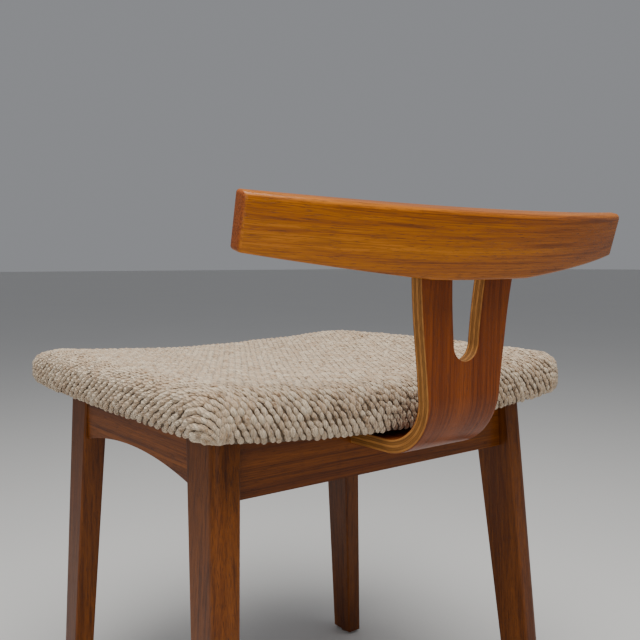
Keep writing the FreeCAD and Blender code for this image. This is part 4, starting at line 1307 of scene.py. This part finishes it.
class CHAIR_OT_studio(bpy.types.Operator):
    """Set the pale floor, the soft lights and the camera"""
    bl_idname = "chair.studio"
    bl_label = "Studio"
    floor_half = 60.0
    seat_middle = (0.0, 0.0, 0.45)
    eye = (0.5541, 0.7466, 0.5778)
    eye_yaw = math.radians(37.4)
    eye_pitch = math.radians(4.09)
    eye_roll = math.radians(0.14)

    def execute(self, context):
        settings = context.scene.chair_studio
        self.floor(settings)
        self.light("key_light", settings.key_power, 1.6, (0.35, 0.55, 2.2), (1.0, 0.985, 0.95))
        self.light("fill_light", settings.fill_power, 1.2, (1.9, 1.6, 1.0), (1.0, 0.98, 0.95))
        world = bpy.data.worlds.new("even_light")
        world.use_nodes = True
        context.scene.world = world
        background = world.node_tree.nodes["Background"]
        background.inputs["Color"].default_value = (0.93, 0.95, 1.0, 1.0)
        background.inputs["Strength"].default_value = settings.sky
        self.camera(context, settings)
        return {"FINISHED"}

    def floor(self, settings):
        """A wide pale floor, faintly clouded."""
        half = self.floor_half
        corners = [(-half, -half, 0), (half, -half, 0), (half, half, 0), (-half, half, 0)]
        floor = new_piece("studio_floor", corners, [(0, 1, 2, 3)])
        material, tree, shader = new_material("studio_floor", Roughness=0.75, Specular_IOR_Level=0.2)
        cloud = stretched_noise(tree, object_place(tree), (1.2, 1.2, 1.2), 2.0)
        wire(tree, mixed(tree, cloud, settings.floor, toned(settings.floor, 0.97)), shader["Base Color"])
        floor.data.materials.append(material)

    def light(self, name, power, size, place, colour):
        """A square soft light aimed at the seat."""
        data = bpy.data.lights.new(name, "AREA")
        data.energy = power
        data.size = size
        data.color = colour
        lamp = bpy.data.objects.new(name, data)
        lamp.location = place
        aim = Vector(self.seat_middle) - Vector(place)
        lamp.rotation_euler = aim.to_track_quat("-Z", "Y").to_euler()
        bpy.context.scene.collection.objects.link(lamp)

    def camera(self, context, settings):
        """Behind the chair's left side, just below the top of the back rail."""
        data = bpy.data.cameras.new("camera")
        data.lens = settings.lens
        data.sensor_width = 36.0
        seer = bpy.data.objects.new("camera", data)
        context.scene.collection.objects.link(seer)
        level = math.cos(self.eye_pitch)
        look = Vector((-math.sin(self.eye_yaw) * level, -math.cos(self.eye_yaw) * level,
                       -math.sin(self.eye_pitch)))
        right = look.cross(Vector((0, 0, 1))).normalized()
        up = right.cross(look)
        roll = Matrix.Rotation(self.eye_roll, 3, look)
        axes = Matrix((roll @ right, roll @ up, -look)).transposed()
        seer.matrix_world = Matrix.Translation(self.eye) @ axes.to_4x4()
        context.scene.camera = seer


STEPS = (CHAIR_OT_legs, CHAIR_OT_rails, CHAIR_OT_joinery, CHAIR_OT_seat_underside, CHAIR_OT_seat,
         CHAIR_OT_splat, CHAIR_OT_back_rail, CHAIR_OT_studio)


class CHAIR_PT_pieces(bpy.types.Panel):
    """Lists the chair's pieces in the order in which they are made"""
    bl_idname = "CHAIR_PT_pieces"
    bl_label = "Dining chair"
    bl_space_type = "VIEW_3D"
    bl_region_type = "UI"
    bl_category = "Chair"

    def draw(self, context):
        for step in STEPS:
            self.layout.operator(step.bl_idname)


GROUPS = {"chair_seat": SeatSettings, "chair_back": BackSettings, "chair_wood": WoodSettings,
          "chair_studio": StudioSettings}
CLASSES = (*GROUPS.values(), *STEPS, CHAIR_PT_pieces)


def register():
    """Registers the classes and hangs the settings on the scene."""
    for item in CLASSES:
        bpy.utils.register_class(item)
    for name, group in GROUPS.items():
        setattr(bpy.types.Scene, name, PointerProperty(type=group))


def unregister():
    """Takes the settings and the classes away again."""
    for name in GROUPS:
        delattr(bpy.types.Scene, name)
    for item in reversed(CLASSES):
        bpy.utils.unregister_class(item)


def main():
    """Makes every piece."""
    register()
    for step in STEPS:
        category, name = step.bl_idname.split(".")
        getattr(getattr(bpy.ops, category), name)()


if __name__ == "__main__":
    main()
